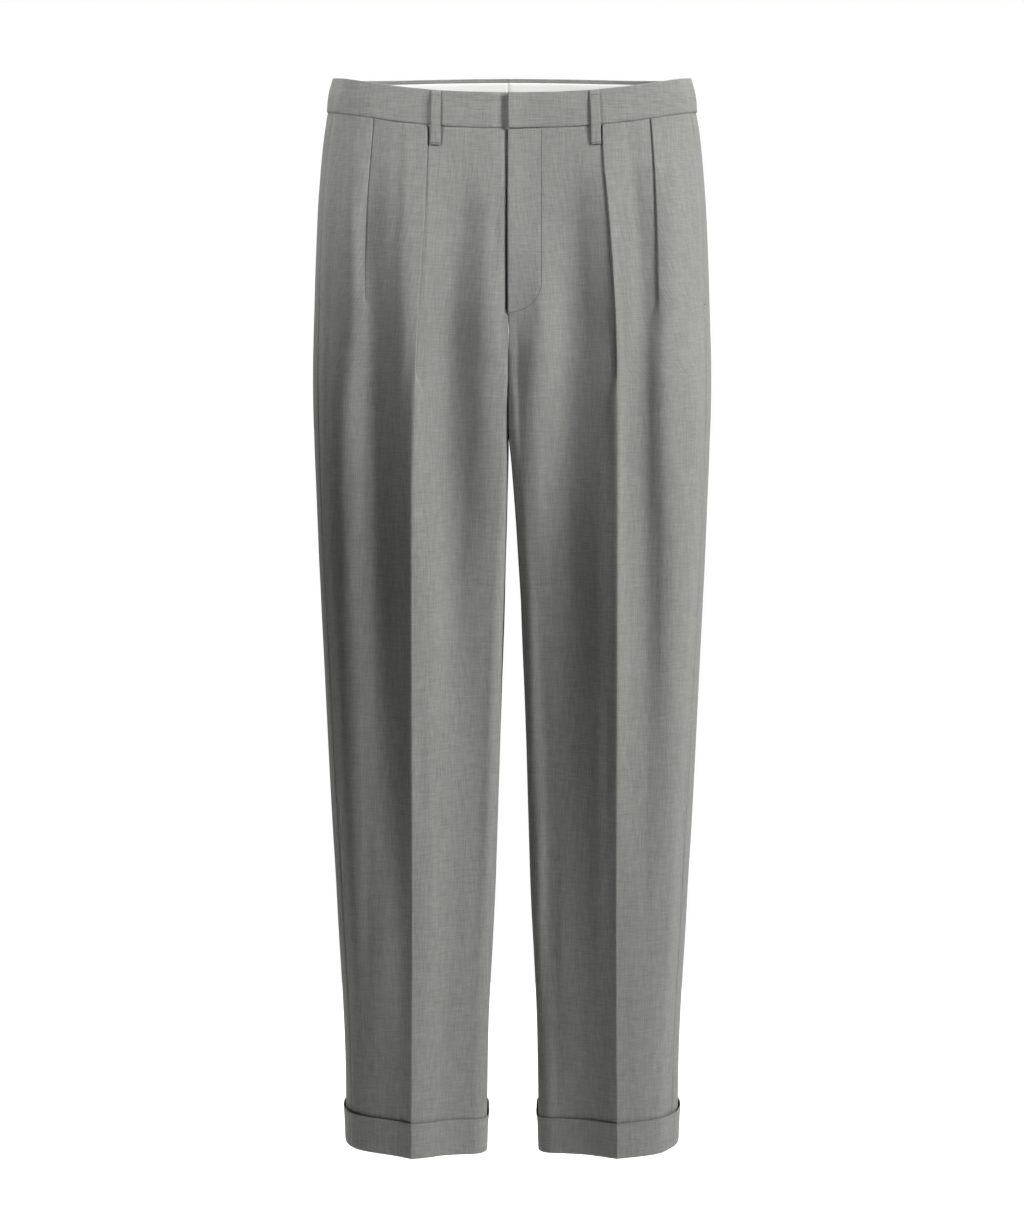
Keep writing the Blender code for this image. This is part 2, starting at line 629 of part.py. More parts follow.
def add_loop(name, side, where, top_x, low_x):
    """A belt loop: a narrow strip over the waistband."""
    faces = ([], [])
    half = 0.6 * MM
    span = LOOP_LINE[0][0] - LOOP_LINE[-1][0]
    for level, out in LOOP_LINE:
        outline = Outline(level, side)
        x = top_x + (low_x - top_x) * (LOOP_LINE[0][0] - level) / span
        middle = find_x(outline, x, where)
        stops = [middle + LOOP_WIDTH * t for t in (-0.5, -0.3, 0.0, 0.3, 0.5)]
        for face, extra in ((faces[0], half), (faces[1], -half)):
            face.append([outline.lift(outline.at(s, out * MM + extra)) for s in stops])
    add_body(name, faces, WOOL)


def build():
    """Make every piece of the garment."""
    for name, side in (("left", 1), ("right", -1)):
        add_sheet("front_" + name, side, PANEL_LEVELS, front_knots, WALL, WOOL)
        add_sheet("back_" + name, side, PANEL_LEVELS, back_knots, WALL, WOOL)
        add_sheet("pocket_facing_" + name, side, POCKET_LEVELS, facing_knots, THIN_WALL, WOOL)
        add_sheet("waistband_lining_" + name, side, (-0.0155, 0.0, 0.0145),
                  lining_knots, THIN_WALL, LINING)
        add_cuff("cuff_" + name, side)
    add_sheet("waistband_left", 1, BAND_LEVELS, band_knots, BAND_WALL, WOOL)
    add_right_band()
    add_fly_shield()
    for row in LOOPS:
        add_loop(*row)


build()
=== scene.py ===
"""Pleated dress trousers: the cloth, the seams and the light.

Everything is in metres.  The wearer's front faces -Y and the wearer's left
is +X.  Each cloth piece is a grid: a row of the grid is one level of the
garment, a column is a place along the garment's outline at that level.
"""
from __future__ import annotations

import logging
import math
from dataclasses import dataclass, field
from enum import Enum
from typing import Callable, Sequence

import bpy
import numpy as np
from mathutils import Matrix, Vector


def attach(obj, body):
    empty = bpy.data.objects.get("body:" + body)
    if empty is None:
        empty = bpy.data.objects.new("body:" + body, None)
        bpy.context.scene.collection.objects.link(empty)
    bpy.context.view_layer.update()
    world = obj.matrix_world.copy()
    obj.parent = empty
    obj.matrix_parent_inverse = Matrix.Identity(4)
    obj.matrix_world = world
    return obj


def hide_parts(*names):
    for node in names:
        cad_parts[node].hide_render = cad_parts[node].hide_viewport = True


LOG = logging.getLogger("trousers")
MM = 0.001
Array = np.ndarray

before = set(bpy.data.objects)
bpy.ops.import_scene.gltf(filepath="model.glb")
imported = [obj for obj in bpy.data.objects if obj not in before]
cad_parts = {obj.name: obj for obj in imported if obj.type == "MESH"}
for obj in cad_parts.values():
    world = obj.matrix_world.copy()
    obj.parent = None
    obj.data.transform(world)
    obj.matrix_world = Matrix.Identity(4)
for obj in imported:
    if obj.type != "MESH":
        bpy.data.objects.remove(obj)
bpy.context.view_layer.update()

# ------------------------------------------------------------------- sizes
CLOTH = 0.75 * MM
BAND_CLOTH = 1.5 * MM
LINING_CLOTH = 0.6 * MM
SEAM_GAP = 0.06 * MM
BAND_TOP = 0.0170
BAND_SEAM = -0.0160
FRONT_DIP = 16.5 * MM
BACK_RISE = 3.5 * MM
FLY_END = -0.202
CROTCH = -0.312
CROTCH_Y = 0.018
HEM = -1.030
SEAM_INSET = 7.5 * MM
POCKET_TOP = -0.036
POCKET_END = -0.196
FLY_WIDTH = 31.0 * MM
FLY_FOOT = 30.0 * MM
FLY_TURN = -0.1725
PANEL_TOP = -0.0158
ARC_STEPS = 56
LIP_STEPS = 12
HEADING_WINDOW = 2.2 * MM
EDGE_STEPS = np.array([0.0, 0.3, 0.8, 1.5, 2.5, 4.0, 6.0]) * MM
# Share of the wall's thickness at its border lines, counted from the edge.
EDGE_SHARES = ((0, 0.35), (1, 0.80))


class Side(Enum):
    """The wearer's side; the value is the sign of X."""

    LEFT = 1
    RIGHT = -1

    @property
    def tag(self) -> str:
        """Name used in piece names."""
        return self.name.lower()


def smooth(value: Array | float) -> Array | float:
    """Even ease from 0 to 1, flat outside."""
    value = np.clip(value, 0.0, 1.0)
    return value * value * (3.0 - 2.0 * value)


def bell(value: Array | float) -> Array | float:
    """Bell curve, 1 at 0 and small past 2."""
    return np.exp(-np.square(value))


@dataclass(frozen=True)
class Table:
    """Rows of named columns, read at any level without overshoot."""

    columns: tuple[str, ...]
    rows: tuple[tuple[float, ...], ...]

    def read(self, name: str, level: float) -> float:
        """Value of a column at a level.

        Args:
            name: column to read.
            level: garment level, metres.

        Returns:
            The interpolated value.
        """
        col, rows = self.columns.index(name), self.rows
        if level >= rows[0][0]:
            return rows[0][col]
        if level <= rows[-1][0]:
            return rows[-1][col]
        i = 0
        while rows[i + 1][0] > level:
            i += 1
        span = rows[i + 1][0] - rows[i][0]
        t = (level - rows[i][0]) / span
        m0, m1 = self._slope(col, i) * span, self._slope(col, i + 1) * span
        a, b = rows[i][col], rows[i + 1][col]
        return ((2 * t ** 3 - 3 * t ** 2 + 1) * a + (t ** 3 - 2 * t ** 2 + t) * m0
                + (-2 * t ** 3 + 3 * t ** 2) * b + (t ** 3 - t ** 2) * m1)

    def _slope(self, col: int, j: int) -> float:
        """Slope of a column at row j, harmonic so that it never overshoots."""
        rows = self.rows
        if j <= 0 or j >= len(rows) - 1:
            k = 0 if j <= 0 else len(rows) - 2
            return (rows[k + 1][col] - rows[k][col]) / (rows[k + 1][0] - rows[k][0])
        before = (rows[j][col] - rows[j - 1][col]) / (rows[j][0] - rows[j - 1][0])
        after = (rows[j + 1][col] - rows[j][col]) / (rows[j + 1][0] - rows[j][0])
        return 0.0 if before * after <= 0.0 else 2.0 * before * after / (before + after)


SECTIONS = Table(
    ("level", "outer", "outer_y", "front_y", "back_y", "ridge_f", "ridge_b", "square", "lean"),
    ((0.017, 0.1702, 0.000, -0.0885, 0.0850, 2.0, 0.0, 0.72, 8.0),
     (0.000, 0.1742, 0.000, -0.0915, 0.0870, 2.0, 0.0, 0.72, 8.0),
     (-0.016, 0.1763, 0.001, -0.0950, 0.0905, 2.0, 0.0, 0.72, 7.5),
     (-0.032, 0.1791, 0.001, -0.0985, 0.0950, 3.0, 0.0, 0.71, 7.0),
     (-0.060, 0.1824, 0.002, -0.1055, 0.1030, 4.0, 0.0, 0.70, 6.5),
     (-0.100, 0.1860, 0.003, -0.1130, 0.1160, 6.0, 0.0, 0.69, 6.0),
     (-0.150, 0.1888, 0.004, -0.1180, 0.1290, 9.0, 2.0, 0.69, 5.0),
     (-0.200, 0.1908, 0.005, -0.1218, 0.1350, 13.0, 4.0, 0.69, 4.0),
     (-0.250, 0.1920, 0.005, -0.1225, 0.1340, 17.0, 8.0, 0.69, 3.0),
     (-0.300, 0.1919, 0.005, -0.1210, 0.1265, 21.0, 13.0, 0.69, 1.5),
     (-0.350, 0.1907, 0.005, -0.1175, 0.1160, 24.0, 18.0, 0.70, 0.0),
     (-0.450, 0.1873, 0.004, -0.1075, 0.0975, 27.0, 24.0, 0.70, 0.0),
     (-0.550, 0.1830, 0.003, -0.0970, 0.0840, 28.0, 26.0, 0.69, 0.0),
     (-0.650, 0.1789, 0.002, -0.0880, 0.0755, 28.0, 26.0, 0.68, 0.0),
     (-0.800, 0.1720, 0.002, -0.0780, 0.0685, 27.0, 25.0, 0.66, 0.0),
     (-0.950, 0.1657, 0.002, -0.0710, 0.0635, 26.0, 24.0, 0.64, 0.0),
     (-1.034, 0.1652, 0.002, -0.0690, 0.0615, 26.0, 24.0, 0.63, 0.0)))

LINES = Table(
    ("level", "crease_left", "crease_right", "pleat_left", "pleat_right", "back"),
    ((0.017, 0.0830, 0.0780, 0.1275, 0.1275, 0.0880),
     (-0.042, 0.0847, 0.0791, 0.1312, 0.1310, 0.0890),
     (-0.100, 0.0892, 0.0809, 0.1336, 0.1347, 0.0910),
     (-0.154, 0.0930, 0.0846, 0.1350, 0.1364, 0.0930),
     (-0.219, 0.0964, 0.0880, 0.1353, 0.1372, 0.0950),
     (-0.284, 0.0981, 0.0911, 0.1360, 0.1374, 0.0965),
     (-0.379, 0.0992, 0.0940, 0.1380, 0.1380, 0.0980),
     (-0.572, 0.1002, 0.0955, 0.1420, 0.1400, 0.0985),
     (-0.770, 0.1006, 0.0963, 0.1420, 0.1400, 0.0985),
     (-1.034, 0.1032, 0.0988, 0.1400, 0.1380, 0.0985)))

CENTRE = Table(
    ("level", "middle", "front", "back", "gap", "inseam_y", "lip_left", "lip_right", "lip_back"),
    ((0.017, -0.0037, -0.0935, 0.0925, 0.0007, 0.018, 0.0, 0.0, 0.000),
     (-0.016, -0.0037, -0.0975, 0.0975, 0.0007, 0.018, 0.0, 0.0, 0.000),
     (-0.060, -0.0037, -0.1050, 0.1050, 0.0007, 0.018, 0.0, 0.0, 0.000),
     (-0.100, -0.0037, -0.1105, 0.1120, 0.0007, 0.018, 0.0, 0.0, 0.000),
     (-0.150, -0.0037, -0.1145, 0.1180, 0.0007, 0.018, 0.0, 0.0, 0.000),
     (-0.205, -0.0037, -0.1150, 0.1200, 0.0007, 0.018, 0.0, 0.0, 0.010),
     (-0.312, -0.0035, -0.1040, 0.1060, 0.0008, 0.018, 0.008, 0.005, 0.030),
     (-0.349, -0.0020, -0.0980, 0.0985, 0.0024, 0.010, 0.009, 0.006, 0.030),
     (-0.418, -0.0002, -0.0860, 0.0835, 0.0058, 0.000, 0.010, 0.008, 0.030),
     (-0.487, 0.0008, -0.0755, 0.0720, 0.0088, -0.006, 0.011, 0.010, 0.029),
     (-0.626, 0.0012, -0.0610, 0.0585, 0.0132, -0.012, 0.012, 0.012, 0.028),
     (-0.766, 0.0010, -0.0520, 0.0510, 0.0177, -0.016, 0.013, 0.013, 0.027),
     (-0.909, 0.0008, -0.0450, 0.0460, 0.0246, -0.018, 0.013, 0.013, 0.026),
     (-1.034, 0.0008, -0.0420, 0.0440, 0.0270, -0.018, 0.013, 0.013, 0.025)))

PLEAT_COLUMNS = ("level", "depth", "lift", "sink", "shut")
FIRST_PLEAT = Table(PLEAT_COLUMNS, (
    (-0.016, 0.0150, 0.00100, 0.00100, 1.0),
    (-0.040, 0.0150, 0.00110, 0.00060, 1.0),
    (-0.080, 0.0140, 0.00125, 0.00000, 1.0),
    (-0.140, 0.0115, 0.00140, 0.00000, 1.0),
    (-0.200, 0.0080, 0.00150, 0.00000, 1.0),
    (-0.245, 0.0045, 0.00145, 0.00000, 1.0),
    (-0.285, 0.0030, 0.00125, 0.00000, 0.0),
    (-0.350, 0.0030, 0.00070, 0.00000, 0.0),
    (-0.430, 0.0030, 0.00030, 0.00000, 0.0),
    (-0.940, 0.0030, 0.00000, 0.00000, 0.0)))
SECOND_PLEAT = Table(PLEAT_COLUMNS, (
    (-0.016, 0.0140, 0.00100, 0.00100, 1.0),
    (-0.040, 0.0140, 0.00110, 0.00060, 1.0),
    (-0.080, 0.0125, 0.00125, 0.00000, 1.0),
    (-0.130, 0.0090, 0.00135, 0.00000, 1.0),
    (-0.175, 0.0045, 0.00135, 0.00000, 1.0),
    (-0.215, 0.0030, 0.00115, 0.00000, 0.0),
    (-0.290, 0.0030, 0.00060, 0.00000, 0.0),
    (-0.400, 0.0030, 0.00010, 0.00000, 0.0),
    (-1.034, 0.0030, 0.00000, 0.00000, 0.0)))

# Rolls and hollows of a front: mm forwards, at distances (mm across) from the crease.
SWELL_AT = (-92, -84, -76, -68, -60, -52, -44, -36, -28, -20, -12, -6,
            0, 6, 12, 20, 28, 36, 44, 52, 60, 68, 76, 84)
SWELL_COLUMNS = ("level", *(f"at{d}" for d in SWELL_AT))
SWELL_LEFT = Table(SWELL_COLUMNS, (
    (-0.016, 0, 0, 0, 0, 0, 0, 0, 0, 0, 0, 0, 0,
     0, 0, 0, 0, 0, .2, .6, 1.2, 2, 3, 3.8, 3.6),
    (-0.050, 0, -.2, -.6, -.9, -1, -1.1, -1.4, -2, -2.2, -1.5, -.8, -.4,
     0, -.6, -1.2, -1.7, -1.2, .4, 2.1, 3, 3.8, 4.6, 5, 4.4),
    (-0.120, 0, -.5, -1.4, -2.2, -3.4, -5, -6.6, -7.6, -7, -4.8, -2.4, -1,
     0, -2.4, -4, -4.8, -3.4, .4, 4.2, 6.8, 8.4, 9, 8.6, 6.4),
    (-0.200, 0, .6, 1.8, 2.4, -.6, -5.2, -8.2, -9, -8, -5.6, -3.4, -1.8,
     0, -3.4, -4.6, -5, -3, 1.4, 6.8, 9.6, 10.4, 10.6, 9.6, 6.4),
    (-0.250, 0, 4, 6.5, 5.4, 1.4, -2.2, -4, -4, -2.8, -1.4, -.4, 0,
     0, -2.4, -3, -1.8, 1.8, 7, 10.6, 11.6, 11.4, 11, 9.2, 5.4),
    (-0.300, 4, 7, 7.4, 5, 1.4, -1, -1.8, -1.4, -.4, .2, .5, .4,
     0, -2.2, -2.8, -1.8, 1.8, 7, 10.8, 12, 11.8, 11, 9, 4.6),
    (-0.370, 3, 5, 5, 3.2, 1.2, .4, .8, 1.8, 2.4, 2.4, 1.8, 1,
     0, -3.2, -4.4, -4, -1.2, 4.2, 9.2, 11.4, 11.6, 10.6, 8, 4.2),
    (-0.450, 0, 0, .4, .6, .4, .8, 2, 3.4, 3.8, 3, 1.7, .8,
     0, -3, -4.6, -5, -3, 1.2, 6.4, 9.6, 10.6, 9.8, 7.4, 3.2),
    (-0.650, 0, 0, -1.5, -1.2, .8, 2.8, 4.4, 5.2, 4.8, 3.2, 1.6, .6,
     0, .8, 1.4, 2.4, 3.8, 6, 8.4, 10, 10, 8, 3, 0),
    (-0.850, 0, 0, 0, -1.4, .8, 3.6, 5.4, 6, 5, 2.4, .4, -.2,
     0, 1.6, 3.2, 5.2, 7, 8.6, 9.4, 9.4, 8, 4, 1, 0),
    (-0.970, 0, 0, 0, 0, 1, 2.6, 4, 4.2, 3.4, 1.4, -.2, -.3,
     0, 1.6, 3, 4.8, 6, 6.6, 6.4, 5, 3, 1, 0, 0),
    (-1.034, 0, 0, 0, 0, .9, 2.3, 3.6, 3.8, 3, 1.2, -.2, -.3,
     0, 1.4, 2.7, 4.3, 5.4, 6, 5.8, 4.5, 2.7, .9, 0, 0)))
SWELL_RIGHT = Table(SWELL_COLUMNS, (
    (-0.016, 0, 0, 0, 0, 0, 0, 0, 0, 0, 0, 0, 0,
     0, 0, .2, .5, 1, 1.6, 2.3, 3.2, 4.3, 5.6, 6.4, 5.6),
    (-0.050, 0, 0, -.2, 0, .3, .3, -.1, -.8, -1, -.8, -.4, -.2,
     0, .6, 1.3, 2.2, 2.8, 2.8, 2.4, 3, 4.6, 6.4, 7.4, 6.2),
    (-0.120, 0, 0, -.6, -.8, .6, -.8, -4, -6.6, -7.2, -6.2, -4, -2.2,
     0, 2, 4, 6.2, 7.2, 7, 4, 2.6, 8, 12, 12.4, 9),
    (-0.200, 0, 1, 4, 6.4, 6.4, 3.4, -.6, -4, -5.8, -5.8, -4, -2,
     0, 2.2, 3.6, 4.2, 3, .8, 1.4, 6.4, 11.2, 13.4, 13, 8.6),
    (-0.250, 0, 1.2, 3, 4.2, 3.2, 0, -3.8, -6.8, -7.8, -7, -4.6, -2.4,
     0, 1.2, 2, .8, -1.6, -3.4, -1.2, 4.4, 9.8, 12.4, 12.2, 7.6),
    (-0.300, 0, 2.2, 4.2, 4.8, 3.2, 0, -3, -5.4, -6.2, -5.4, -3.4, -1.6,
     0, 0, -.4, -2, -4.6, -6.2, -3.2, 2.6, 8, 11.2, 11, 6.5),
    (-0.370, 1, 2.6, 3.8, 3.8, 2, -.6, -2.4, -3.4, -3.4, -2.6, -1.3, -.5,
     0, -.2, -1, -3, -5, -5.4, -2.2, 2.8, 6.8, 9.2, 8.2, 4),
    (-0.450, 1, 2.8, 4, 4, 3.2, 2.2, 1.6, 1.6, 1.8, 1.8, 1.4, .8,
     0, -.2, -1, -2.8, -4.2, -3.8, -.6, 3.4, 6.8, 8.2, 7, 3),
    (-0.650, 0, 2, 4, 4, 4.6, 5.6, 6.6, 7.2, 7, 5.6, 3.2, 1.4,
     0, -.5, -1.1, -1, .2, 2.2, 4.6, 7, 8.4, 8.4, 5, 1),
    (-0.850, 0, 1, 3, 4.6, 6, 7.4, 8.4, 8.6, 7.8, 6, 3.4, 1.5,
     0, -.4, 0, 1.6, 3.6, 4.8, 5.2, 5.6, 6, 5, 2, 0),
    (-0.970, 0, 0, 1, 2.4, 4, 5.4, 6.6, 7.2, 6.6, 5, 2.8, 1.3,
     0, -.6, -1.2, -1.4, -1, -.4, 0, .6, 1.6, 1.4, .6, 0),
    (-1.034, 0, 0, .9, 2.1, 3.6, 4.9, 6, 6.5, 6, 4.5, 2.5, 1.2,
     0, -.6, -1.1, -1.3, -.9, -.4, 0, .5, 1.4, 1.2, .5, 0)))


def panel_levels() -> list[float]:
    """Levels of the rows of a panel, closer near the waist and the crotch."""
    levels = list(np.linspace(PANEL_TOP, -0.0230, 6))
    levels += list(np.arange(-0.0260, -0.1965, -0.0040))
    levels += list(np.arange(-0.1980, -0.2085, -0.0010))
    levels += list(np.arange(-0.2115, -0.2640, -0.0040))
    levels += [CROTCH + 0.0480 * (1.0 - math.sin(t)) for t in np.linspace(0.02, 1.55, 22)]
    levels += [CROTCH - 0.0003, -0.3150, -0.3190]
    levels += list(np.arange(-0.3240, -0.9900, -0.0062))
    levels += list(np.linspace(-0.9920, -1.0262, 8))
    return levels


def waist_dip(x: Array, y: Array, level: float) -> Array:
    """How far a point of a level falls at the front or climbs at the back.

    Args:
        x, y: places of the points.
        level: garment level.

    Returns:
        Heights above the level, metres.
    """
    fade = smooth((level + 0.215) / 0.185)
    share = np.minimum(1.0, np.abs(x) / 0.176)
    front = (1.0 - share ** 2.5) ** 1.3
    back = np.square(1.0 - share * share)
    amount = np.where(y < 0.0, -FRONT_DIP * front, BACK_RISE * back)
    hem = 0.0025 * (np.abs(x) - 0.098) / 0.07 * smooth((-0.8 - level) / 0.2)
    return amount * fade + hem


def arc(start: Array, start_dir: Array, end: Array, end_dir: Array,
        full_start: float, full_end: float) -> Array:
    """One quarter of the outline as a cubic curve.

    Args:
        start, end: the two ends.
        start_dir, end_dir: headings at the ends, unit length.
        full_start, full_end: fullness of the curve by each end.

    Returns:
        The points, one a row.
    """
    delta = end - start
    reach = float(np.hypot(*delta))
    h0 = max(0.22 * reach, full_start * abs(float(delta @ start_dir)))
    h1 = max(0.22 * reach, full_end * abs(float(delta @ end_dir)))
    p1, p2 = start + start_dir * h0, end - end_dir * h1
    t = np.linspace(0.0, 1.0, ARC_STEPS + 1)[:, None]
    return ((1 - t) ** 3 * start + 3 * t * (1 - t) ** 2 * p1
            + 3 * t * t * (1 - t) * p2 + t ** 3 * end)


def round_under(value: float, top: float, level: float) -> float:
    """Depth of a rise seam where it rounds under the body.

    Args:
        value: its depth above the rounding.
        top: level where the rounding starts.
        level: garment level.

    Returns:
        The depth, metres.
    """
    t = min(1.0, max(0.0, (top - level) / (top - CROTCH)))
    return value + (CROTCH_Y - value) * (1.0 - math.sqrt(max(0.0, 1.0 - t ** 2.4)))


def lipped(x_in: float, depth_y: float, lip_y: float, radius: float, sign: int,
           crease: Array, crease_dir: Array, full: float) -> Array:
    """Inner front quarter: straight out of the seam, round a lip, flat to the crease.

    Args:
        x_in: how far out the seam lies.
        depth_y, lip_y: the seam's depth and the depth of the lip's face.
        radius: of the lip.
        sign: of X on this side.
        crease, crease_dir: where the quarter ends, and its heading there.
        full: fullness beside the lip.

    Returns:
        The points, one a row.
    """
    points = []
    if radius > 0.05 * MM:
        turn = np.linspace(0.0, math.pi / 2, LIP_STEPS + 1)
        lip = np.stack((x_in + sign * radius * (1.0 - np.cos(turn)),
                        lip_y + radius * (1.0 - np.sin(turn))), axis=1)
        first = np.array([[x_in, max(depth_y, lip[0, 1] + 0.05 * MM)]])
        points = [first, lip]
    else:
        radius = 0.0
    flat = arc(np.array((x_in + sign * radius, lip_y)), np.array((float(sign), 0.0)), crease,
               crease_dir, full, 0.46)
    return np.concatenate(points + [flat[1:] if points else flat])


class Outline:
    """The outline of one half of the garment at one level."""

    _made: dict[tuple[float, Side], "Outline"] = {}

    @classmethod
    def of(cls, level: float, side: Side) -> "Outline":
        """The outline at a level, made once.

        Args:
            level: garment level.
            side: which half.

        Returns:
            The outline.
        """
        key = (round(level, 7), side)
        if key not in cls._made:
            cls._made[key] = cls(level, side)
        return cls._made[key]

    def __init__(self, level: float, side: Side) -> None:
        """Lay out the four quarters of the outline.

        Args:
            level: garment level.
            side: which half.
        """
        self.level, self.side = level, side
        sign = side.value
        mid = CENTRE.read("middle", level)
        turn = float(smooth((-0.195 - level) / 0.100))
        parted = float(smooth((-0.205 - level) / 0.015))
        edge = SEAM_GAP / 2 + (CLOTH / 2 + 0.1 * MM) * parted
        lip_y = CENTRE.read("front", level)
        if level > CROTCH:
            front_y = round_under(lip_y, -0.215, level)
            back_y = round_under(CENTRE.read("back", level), -0.190, level)
            split = 0.0
        else:
            front_y = back_y = CENTRE.read("inseam_y", level)
            edge, split = max(edge, CENTRE.read("gap", level)), SEAM_GAP / 2
        x_in = mid + sign * edge
        depth = max(0.0, front_y - split - lip_y)
        radius = min(depth, CENTRE.read("lip_" + side.tag, level))
        full, lean = SECTIONS.read("square", level), SECTIONS.read("lean", level)
        crease = np.array((sign * LINES.read("crease_" + side.tag, level),
                           SECTIONS.read("front_y", level)))
        outer = np.array((sign * SECTIONS.read("outer", level), SECTIONS.read("outer_y", level)))
        back = np.array((sign * LINES.read("back", level), SECTIONS.read("back_y", level)))

        def heading(across: int, degrees: float) -> Array:
            """Flat heading, across outwards (+1) or inwards, turned to the back."""
            turned = math.radians(degrees)
            return np.array((sign * across * math.cos(turned), math.sin(turned)))

        ridge_f, ridge_b = SECTIONS.read("ridge_f", level), SECTIONS.read("ridge_b", level)
        back_lip, flip = CENTRE.read("back", level), np.array((1.0, -1.0))
        round_back = min(max(0.0, back_lip - back_y - split), CENTRE.read("lip_back", level))
        to_back = np.array((0.0, 1.0))
        quarters = (
            lipped(x_in, front_y - split, lip_y, radius, sign, crease,
                   heading(1, lean - ridge_f), full),
            arc(crease, heading(1, ridge_f + lean), outer, to_back, 0.46 + 0.12 * turn,
                full + 0.12 * turn),
            arc(outer, to_back, back, heading(-1, ridge_b + lean), full, 0.50),
            lipped(x_in, -back_y - split, -back_lip, round_back, sign, back * flip,
                   heading(1, lean - ridge_b), 0.60)[::-1] * flip,
        )
        parts = [quarters[0]] + [part[1:] for part in quarters[1:]]
        self.points = np.concatenate(parts)
        marks = np.cumsum([len(part) for part in parts]) - 1
        steps = np.hypot(*np.diff(self.points, axis=0).T)
        self.lengths = np.concatenate(([0.0], np.cumsum(steps)))
        self.crease, self.outer, self.back, self.end = (float(self.lengths[m]) for m in marks)
        self.lip = float(self.lengths[LIP_STEPS + 1]) if radius > 0.05 * MM else 0.0
        self.lip_start = max(0.0, depth - radius)
        self.back_lip = float(self.lengths[-LIP_STEPS - 3]) if round_back > 0.05 * MM else self.end
        self.seam = self.reach_x(abs(outer[0]) - SEAM_INSET, self.crease, self.outer)
        self.pleat = self.reach_x(LINES.read("pleat_" + side.tag, level), self.crease, self.outer)

    def reach_x(self, x: float, low: float, high: float, falling: bool = False) -> float:
        """Length along the outline where a distance across is reached.

        Args:
            x: distance from the middle.
            low, high: lengths to search between.
            falling: True where the distance falls from low to high.

        Returns:
            The length.
        """
        for _ in range(36):
            middle = (low + high) / 2
            if (abs(float(self.base(middle)[0])) < x) != falling:
                low = middle
            else:
                high = middle
        return (low + high) / 2

    def base(self, s: Array | float) -> Array:
        """Points of the bare outline; straight on past either end.

        Args:
            s: lengths along it.

        Returns:
            Flat points, one a row.
        """
        s = np.asarray(s, dtype=float)
        inside = np.clip(s, 0.0, self.end)
        flat = np.stack((np.interp(inside, self.lengths, self.points[:, 0]),
                         np.interp(inside, self.lengths, self.points[:, 1])), axis=-1)
        first = self.points[1] - self.points[0]
        last = self.points[-1] - self.points[-2]
        first, last = first / np.hypot(*first), last / np.hypot(*last)
        before, after = np.minimum(s, 0.0)[..., None], np.maximum(s - self.end, 0.0)[..., None]
        return flat + before * first + after * last

    def at(self, s: Array, out: Array | float) -> Array:
        """Points at lengths along the outline and distances outwards.

        Args:
            s: lengths, metres.
            out: distances outwards, metres.

        Returns:
            Points in space, one a row.
        """
        s = np.asarray(s, dtype=float)
        span = self.base(s + HEADING_WINDOW) - self.base(s - HEADING_WINDOW)
        span /= np.maximum(1e-9, np.hypot(span[..., 0], span[..., 1]))[..., None]
        normal = np.stack((span[..., 1], -span[..., 0]), axis=-1) * self.side.value
        flat = self.base(s) + normal * np.asarray(out)[..., None]
        z = self.level + waist_dip(flat[..., 0], flat[..., 1], self.level)
        return np.stack((flat[..., 0], flat[..., 1], z), axis=-1)

    def drape(self, s: Array, out: Array | float) -> Array:
        """Points as at() gives them, moved with the front's rolls and hollows.

        Args:
            s: lengths, metres.
            out: distances outwards, metres.

        Returns:
            Points in space, one a row.
        """
        points = self.at(s, out)
        points[:, 1] -= swell(self, s)
        return points


def spread(start: float, stop: float, count: int) -> Array:
    """Even steps from start to stop."""
    return start + (stop - start) * np.linspace(0.0, 1.0, count)


@dataclass(frozen=True)
class Pleat:
    """A forward pleat: its fold edge faces the fly, and it opens lower down."""

    table: Table
    reach_before: float = 14.0 * MM
    reach_after: float = 24.0 * MM

    def knots(self, edge: float, level: float) -> tuple[Array, Array]:
        """Lengths and outward distances of points across the pleat.

        Args:
            edge: length of the fold edge along the outline.
            level: garment level.

        Returns:
            Two arrays, lengths and distances outwards.
        """
        depth, h = self.table.read("depth", level), self.table.read("lift", level)
        sink, shut = self.table.read("sink", level), self.table.read("shut", level)
        r = h / 2
        turn = np.linspace(-math.pi / 2, math.pi / 2, 9)
        folded = [np.stack((spread(-self.reach_before, depth - r, 12), np.zeros(12)), 1)]
        folded.append(np.stack((depth - r + r * np.cos(turn), r + r * np.sin(turn)), 1)[1:])
        folded.append(np.stack((spread(depth - r, r, 9), np.full(9, h)), 1)[1:])
        folded.append(np.stack((r - r * np.cos(turn), h + r + r * np.sin(turn)), 1)[1:])
        top = spread(r, depth + 3 * MM, 8)
        folded.append(np.stack((top, np.full(8, 2 * h)), 1)[1:])
        fall = np.linspace(0.0, 1.0, 10)
        slope = spread(depth + 3 * MM, self.reach_after, 10)
        folded.append(np.stack((slope, 2 * h * (1.0 - smooth(fall))), 1)[1:])
        shape = np.concatenate(folded)
        count = len(shape)
        peak = 12 + 8 + 8 + 7
        rise = np.linspace(-self.reach_before, 0.0, peak)
        drop = np.linspace(0.0, self.reach_after, count - peak + 1)[1:]
        open_s = np.concatenate((rise, drop))
        open_n = np.concatenate((1.9 * h * smooth(1.0 + rise / self.reach_before) ** 1.3,
                                 1.9 * h * (1.0 - smooth(drop / self.reach_after))))
        s = open_s + (shape[:, 0] - open_s) * shut
        n = open_n + (shape[:, 1] - open_n) * shut
        inner = np.minimum(1.0, np.minimum(np.arange(count), np.arange(count)[::-1]) / 5.0)
        return edge + s, n - sink * smooth(inner)


